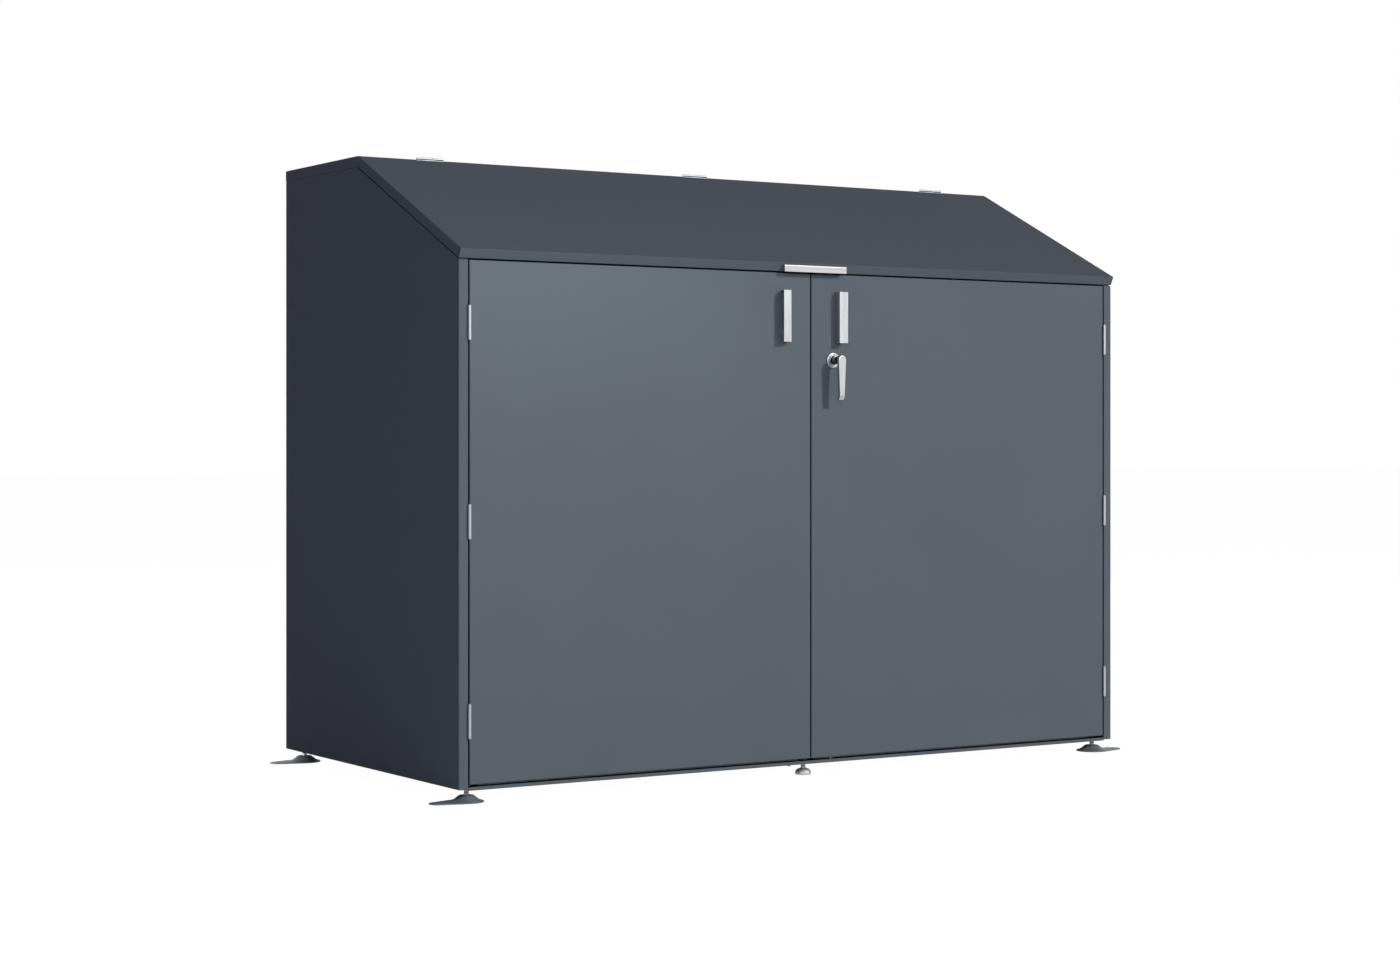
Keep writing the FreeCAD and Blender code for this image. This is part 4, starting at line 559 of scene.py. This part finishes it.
def rib_rivets():
    head = rivet(radius=2.4, high=1.1)
    for node, name, body in (("left_door_rib", "left_door_rivets", "door_left"),
                             ("right_door_rib", "right_door_rivets", "door_right")):
        low, high = reach_of(node)
        mesh = bmesh.new()
        for x in (low.x + RIVET_INSET, high.x - RIVET_INSET):
            for z in row(low.z + RIVET_END, high.z - RIVET_END, DOOR_RIVETS):
                stamp(mesh, head, (x, low.y + RIB_SHEET, z), BACK)
        piece(name, mesh, "anthracite_paint", body)
    mesh = bmesh.new()
    for node, axis in (("left_side_rib", RIGHT), ("right_side_rib", LEFT)):
        low, high = reach_of(node)
        skin = low.x + RIB_SHEET if axis is RIGHT else high.x - RIB_SHEET
        for y in (low.y + RIVET_INSET, high.y - RIVET_INSET):
            for z in row(low.z + RIVET_END, high.z - RIVET_END, SIDE_RIVETS):
                stamp(mesh, head, (skin, y, z), axis)
    piece("side_rib_rivets", mesh, "anthracite_paint", "cabinet")
    head.free()


def leaf_screws(mesh, head, x, axis):
    for middle in DOOR_HINGES:
        for off in LEAF_HOLES:
            stamp(mesh, head, (x, LEAF_HOLE_BACK, middle + off), axis)


def hinge_screws():
    head = flat_screw(radius=3.2, high=0.35)
    mesh = bmesh.new()
    for side, axis in ((-1, RIGHT), (1, LEFT)):
        leaf_screws(mesh, head, side * (HALF - POST - LEAF), axis)
    piece("post_leaf_screws", mesh, "satin_steel", "cabinet")
    for side, axis, body in ((-1, LEFT, "door_left"), (1, RIGHT, "door_right")):
        mesh = bmesh.new()
        leaf_screws(mesh, head, side * (HALF - POST - DOOR_GAP + LEAF), axis)
        piece(body + "_leaf_screws", mesh, "satin_steel", body)
    head.free()


def rear_screws():
    head = dome_screw(radius=5, high=2.6)
    mesh = bmesh.new()
    for node in ("left_rear_panel", "right_rear_panel"):
        low, high = reach_of(node)
        for x in (low.x + PANEL_SCREW_INSET, high.x - PANEL_SCREW_INSET):
            for z in row(low.z + PANEL_SCREW_END, high.z - PANEL_SCREW_END, PANEL_SCREWS):
                stamp(mesh, head, (x, high.y, z), BACK)
    head.free()
    piece("rear_panel_screws", mesh, "zinc_steel", "cabinet")


def pull_screws():
    head = flat_screw(radius=4, high=0.8)
    for node, side, body in (("left_door_pull", -1, "door_left"), ("right_door_pull", 1, "door_right")):
        low, high = reach_of(node)
        inner = high.x if side < 0 else low.x
        mesh = bmesh.new()
        for z in (low.z + PULL_SCREW_END, high.z - PULL_SCREW_END):
            stamp(mesh, head, (inner + side * PULL_SCREW_INSET, -PULL_SHEET, z), FRONT)
        piece(node + "_screws", mesh, "satin_steel", body)
    head.free()


def lock_fittings():
    # Painted shade round the lever's neck: a black ring on the rosette and a black sleeve on the neck
    shade_gasket = turned(SHADE_GASKET, 48, True)
    mesh = bmesh.new()
    stamp(mesh, shade_gasket, (LOCK_X, -ROSETTE_HIGH, LOCK_Z), FRONT)
    piece("rosette_shade_gasket", mesh, "black_rubber", "door_right")
    shade_sleeve = turned(SHADE_SLEEVE, 48, True)
    mesh = bmesh.new()
    stamp(mesh, shade_sleeve, (LOCK_X, -ROSETTE_HIGH - SHADE_SLEEVE_OFF, LOCK_Z), FRONT)
    piece("lever_shade_sleeve", mesh, "spring_black", "lever")
    low, high = reach_of("lock_case")
    head = dome_screw(radius=3, high=1.6)
    mesh = bmesh.new()
    for x in (low.x + CASE_SCREW_INSET, high.x - CASE_SCREW_INSET):
        for z in (low.z + CASE_SCREW_END, high.z - CASE_SCREW_END):
            stamp(mesh, head, (x, high.y, z), BACK)
    guide_screws(mesh, head, LOCK_X, ROD_GUIDE_BACK, ROD_GUIDES)
    piece("lock_screws", mesh, "zinc_steel", "door_right")
    mesh = bmesh.new()
    guide_screws(mesh, head, -BOLT_X, BOLT_GUIDE_BACK, BOLT_GUIDES)
    piece("bolt_guide_screws", mesh, "zinc_steel", "door_left")
    for shape in (shade_gasket, shade_sleeve, head):
        shape.free()


def guide_screws(mesh, head, middle, back, guides):
    for z in guides:
        for off in GUIDE_SCREWS:
            stamp(mesh, head, (middle + off, back, z), BACK)


# Feet

def threaded():
    """The profile of a stem from its neck up, with the thread drawn as rings."""
    rings = []
    for index in range(int((THREAD_HIGH - THREAD_LOW) / PITCH)):
        start = THREAD_LOW + index * PITCH
        rings += [(STEM_R - THREAD_DEEP, start + 0.1 * PITCH), (STEM_R, start + 0.45 * PITCH),
                  (STEM_R, start + 0.65 * PITCH)]
    return STEM_NECK + rings + STEM_END


def levelling_feet():
    rod = turned(STEM_FOOT + threaded(), 40)
    bell = turned(BELL, 72, True)
    dome = turned(DOME + threaded(), 48)
    ring = turned(STEM_SHADE_RING, 32, True)
    for end, y in (("front", FOOT_Y), ("rear", DEPTH - FOOT_Y)):
        mesh = bmesh.new()
        stamp(mesh, dome, (0, y, -GROUND_GAP))
        foot = piece(end + "_dome_foot", mesh, "bright_foot", "foot_%s_middle" % end)
        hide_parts(end + "_middle_foot")
        # Each stem gets a black ring in its neck groove as painted shade
        for place, x in (("left", FOOT_X - HALF), ("middle", 0), ("right", HALF - FOOT_X)):
            mesh = bmesh.new()
            stamp(mesh, ring, (x, y, -GROUND_GAP))
            corner = "%s_%s" % (end, place)
            piece(corner + "_stem_ring", mesh, "black_rubber", "foot_" + corner)
        for side, way in (("left", -1), ("right", 1)):
            x = way * (HALF - FOOT_X)
            mesh = bmesh.new()
            stamp(mesh, rod, (x, y, -GROUND_GAP))
            corner = "%s_%s" % (end, side)
            stem = piece(corner + "_threaded_stem", mesh, "bright_foot", "foot_" + corner)
            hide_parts(corner + "_stem")
            mesh = bmesh.new()
            stamp(mesh, bell, (x, y, -GROUND_GAP))
            tongue(mesh, x, y, way)
            plate = piece(corner + "_foot_bell", mesh, "foot_paint", "foot_" + corner)
            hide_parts(corner + "_ground_plate")
    for shape in (rod, bell, dome, ring):
        shape.free()


def tongue(mesh, x, y, way):
    """The tapered anchor tongue: a ring round its hole, drawn out to the outline and thickened."""
    shape = bmesh.new()
    bmesh.ops.create_circle(shape, segments=64, radius=ANCHOR_HOLE)
    rim = bmesh.ops.extrude_edge_only(shape, edges=shape.edges[:])["geom"]
    lean = (PAD_R - TONGUE_R) / TONGUE_REACH
    across = math.sqrt(1 - lean * lean)
    for point in [item for item in rim if isinstance(item, bmesh.types.BMVert)]:
        ray = point.co.normalized()
        slope = lean * ray.x + across * abs(ray.y)
        if ray.x > lean:
            far = TONGUE_R
        else:
            far = min(TONGUE_R / max(slope, 0.01), ROOT_REACH / max(-ray.x, 0.01))
        point.co = ray * far
    top = bmesh.ops.extrude_face_region(shape, geom=shape.faces[:])["geom"]
    raised = [item for item in top if isinstance(item, bmesh.types.BMVert)]
    bmesh.ops.translate(shape, vec=(0, 0, PLATE_THICK), verts=raised)
    bmesh.ops.recalc_face_normals(shape, faces=shape.faces)
    if way < 0:
        bmesh.ops.rotate(shape, verts=shape.verts, matrix=Matrix.Rotation(math.pi, 3, "Z"))
    stamp(mesh, shape, (x + way * TONGUE_REACH, y, -GROUND_GAP))
    shape.free()


# Gas springs

def spring_fittings():
    low = Vector((0, *SPRING_LOW))
    high = Vector((0, *SPRING_HIGH))
    along = (high - low).normalized()
    gland = turned(GLAND, 32, True)
    clip = turned(CLIP, 24, True)
    head = rivet(radius=6, high=2.4)
    clips = bmesh.new()
    heads = bmesh.new()
    for side, way in (("left", -1), ("right", 1)):
        x = way * (HALF - SPRING_X)
        mesh = bmesh.new()
        stamp(mesh, gland, Vector((x, 0, 0)) + low + along * CYLINDER_END, along)
        piece(side + "_spring_gland", mesh, "piston_chrome", "cylinder_" + side)
        stamp(clips, clip, (x - way * CLIP_OFF, low.y, low.z), RIGHT)
        stamp(heads, head, (x - way * PIN_HEAD_OFF, high.y, high.z), LEFT if way > 0 else RIGHT)
    piece("spring_clips", clips, "zinc_steel", "cabinet")
    piece("spring_pin_heads", heads, "zinc_steel", "lid_wing")
    for shape in (gland, clip, head):
        shape.free()


# Stage, lamps and camera

def either(tree, one, other):
    """The larger of two sockets of a stage material or the world."""
    node = tree.nodes.new("ShaderNodeMath")
    node.operation = "MAXIMUM"
    tree.links.new(one, node.inputs[0])
    tree.links.new(other, node.inputs[1])
    return node.outputs[0]


def pale_floor():
    """A pale surface that the camera sees as white, with a soft trace of the shadow on it."""
    material = bpy.data.materials.new("pale_floor")
    material.use_nodes = True
    tree = material.node_tree
    tree.nodes.clear()
    paint = tree.nodes.new("ShaderNodeBsdfDiffuse")
    paint.inputs["Color"].default_value = (FLOOR_LEVEL, FLOOR_LEVEL, FLOOR_LEVEL, 1)
    glow = tree.nodes.new("ShaderNodeEmission")
    glow.inputs["Strength"].default_value = FLOOR_GLOW
    path = tree.nodes.new("ShaderNodeLightPath")
    share = tree.nodes.new("ShaderNodeMath")
    share.operation = "MULTIPLY"
    share.inputs[1].default_value = FLOOR_WHITE
    mix = tree.nodes.new("ShaderNodeMixShader")
    out = tree.nodes.new("ShaderNodeOutputMaterial")
    seen = either(tree, path.outputs["Is Camera Ray"], path.outputs["Is Glossy Ray"])
    tree.links.new(seen, share.inputs[0])
    tree.links.new(share.outputs[0], mix.inputs[0])
    tree.links.new(paint.outputs[0], mix.inputs[1])
    tree.links.new(glow.outputs[0], mix.inputs[2])
    tree.links.new(mix.outputs[0], out.inputs[0])
    return material


def floor():
    mesh = bmesh.new()
    bmesh.ops.create_grid(mesh, x_segments=1, y_segments=1, size=FLOOR_REACH)
    data = bpy.data.meshes.new("floor")
    mesh.to_mesh(data)
    mesh.free()
    ground = bpy.data.objects.new("floor", data)
    SCENE.collection.objects.link(ground)
    data.materials.append(pale_floor())
    return ground


def white_world(strength, tint):
    """White for the camera and in reflections, and a weak blue light on matt surfaces."""
    world = bpy.data.worlds.new("world")
    world.use_nodes = True
    SCENE.world = world
    tree = world.node_tree
    path = tree.nodes.new("ShaderNodeLightPath")
    seen = path.outputs["Is Camera Ray"]
    for other in ("Is Glossy Ray", "Is Transmission Ray"):
        seen = either(tree, seen, path.outputs[other])
    mix = tree.nodes.new("ShaderNodeMix")
    mix.data_type = "RGBA"
    cool, white = [entry for entry in mix.inputs if entry.type == "RGBA"]
    cool.default_value = tuple(strength * level for level in tint) + (1,)
    white.default_value = (1, 1, 1, 1)
    tree.links.new(seen, mix.inputs["Factor"])
    result = [entry for entry in mix.outputs if entry.type == "RGBA"][0]
    tree.links.new(result, tree.nodes["Background"].inputs["Color"])


def lamp(name, place, aim, size, power, tint=(1, 1, 1), only=(), skip=()):
    """A soft lamp that lights everything, only some things, or all but those that it skips."""
    light = bpy.data.lights.new(name, "AREA")
    light.color = tint
    light.shape = "RECTANGLE"
    light.size, light.size_y = size
    light.energy = power
    holder = bpy.data.objects.new(name, light)
    holder.location = place
    holder.rotation_euler = (Vector(place) - Vector(aim)).to_track_quat("Z", "Y").to_euler()
    SCENE.collection.objects.link(holder)
    if not (only or skip):
        return
    group = bpy.data.collections.new(name + "_flag")
    for thing in only or skip:
        group.objects.link(thing)
    holder.light_linking.receiver_collection = group
    for entry in group.collection_objects:
        entry.light_linking.link_state = "INCLUDE" if only else "EXCLUDE"


def lamps(ground):
    middle = (0, -0.4, 0.8)
    warm = (1.0, 0.98, 0.9)
    top = NODES["roof_panel"]
    roof = [NODES["lid"], top, NODES["ridge_beam"]]
    feet = [thing for thing in SCENE.collection.objects
            if "foot" in thing.name or "stem" in thing.name]
    rear_left = [thing for thing in feet if thing.name.startswith("rear_left")]
    other_rear = [thing for thing in feet if thing.name.startswith("rear") and thing not in rear_left]
    lamp("key", (6.55, -11.9, 7.9), middle, size=(0.8, 0.8), power=1500, skip=roof)
    lamp("front_fill", (1.5, -9.0, 3.6), middle, size=(5.0, 3.0), power=100)
    lamp("roof_light", (1.5, -9.0, 3.6), middle, size=(5.0, 3.0), power=275, only=roof)
    lamp("top_light", (0.6, 2.6, 7.0), middle, size=(4.0, 3.0), power=190, only=[top])
    lamp("upper_left_fill", (-2.2, -4.6, 3.0), (-0.6, -0.2, 0.9), size=(2.0, 1.6), power=42)
    lamp("near_left", (-1.6, -3.0, 1.7), (-1.1, -0.5, 1.2), size=(1.4, 1.0), power=12)
    lamp("corner_light", (-0.86, -0.76, 1.27), (-0.85, -0.48, 1.2), size=(1.26, 0.44), power=0.8,
         only=[NODES["left_door"]])
    lamp("back_fill", (6.4, 6.6, 2.4), (0.4, 0.6, 0.8), size=(4.0, 2.6), power=560, tint=warm,
         skip=feet)
    lamp("rear_left_fill", (-5.4, 5.6, 2.4), (-0.6, 0.4, 0.8), size=(3.0, 2.0), power=220, tint=warm,
         skip=feet + roof + [NODES["left_side_panel"], ground])
    lamp("left_foot_light", (-6.0, 0.5, 0.7), (-0.96, 0.48, 0.02), size=(1.5, 0.8), power=230,
         only=rear_left)
    lamp("rear_foot_light", (0.6, 7.0, 1.3), (0.5, 0.48, 0.02), size=(1.5, 1.0), power=220,
         only=other_rear)


def camera():
    eye = bpy.data.cameras.new("camera")
    eye.sensor_width = SENSOR_WIDTH
    eye.lens = FOCAL_PIXELS / IMAGE_WIDTH * SENSOR_WIDTH
    eye.shift_y = -HORIZON_ABOVE_MIDDLE / IMAGE_WIDTH
    eye.clip_end = VIEW_REACH
    holder = bpy.data.objects.new("camera", eye)
    holder.location = CAMERA_PLACE
    holder.rotation_euler = (math.pi / 2, 0, -CAMERA_TURN)
    SCENE.collection.objects.link(holder)
    SCENE.camera = holder


SCENE.view_settings.view_transform = "Standard"
dress_frame()
gap_shade_strips()
rib_rivets()
hinge_screws()
rear_screws()
pull_screws()
lock_fittings()
levelling_feet()
spring_fittings()
ground = floor()
white_world(strength=0.084, tint=(0.02, 0.02, 1.0))
lamps(ground)
camera()
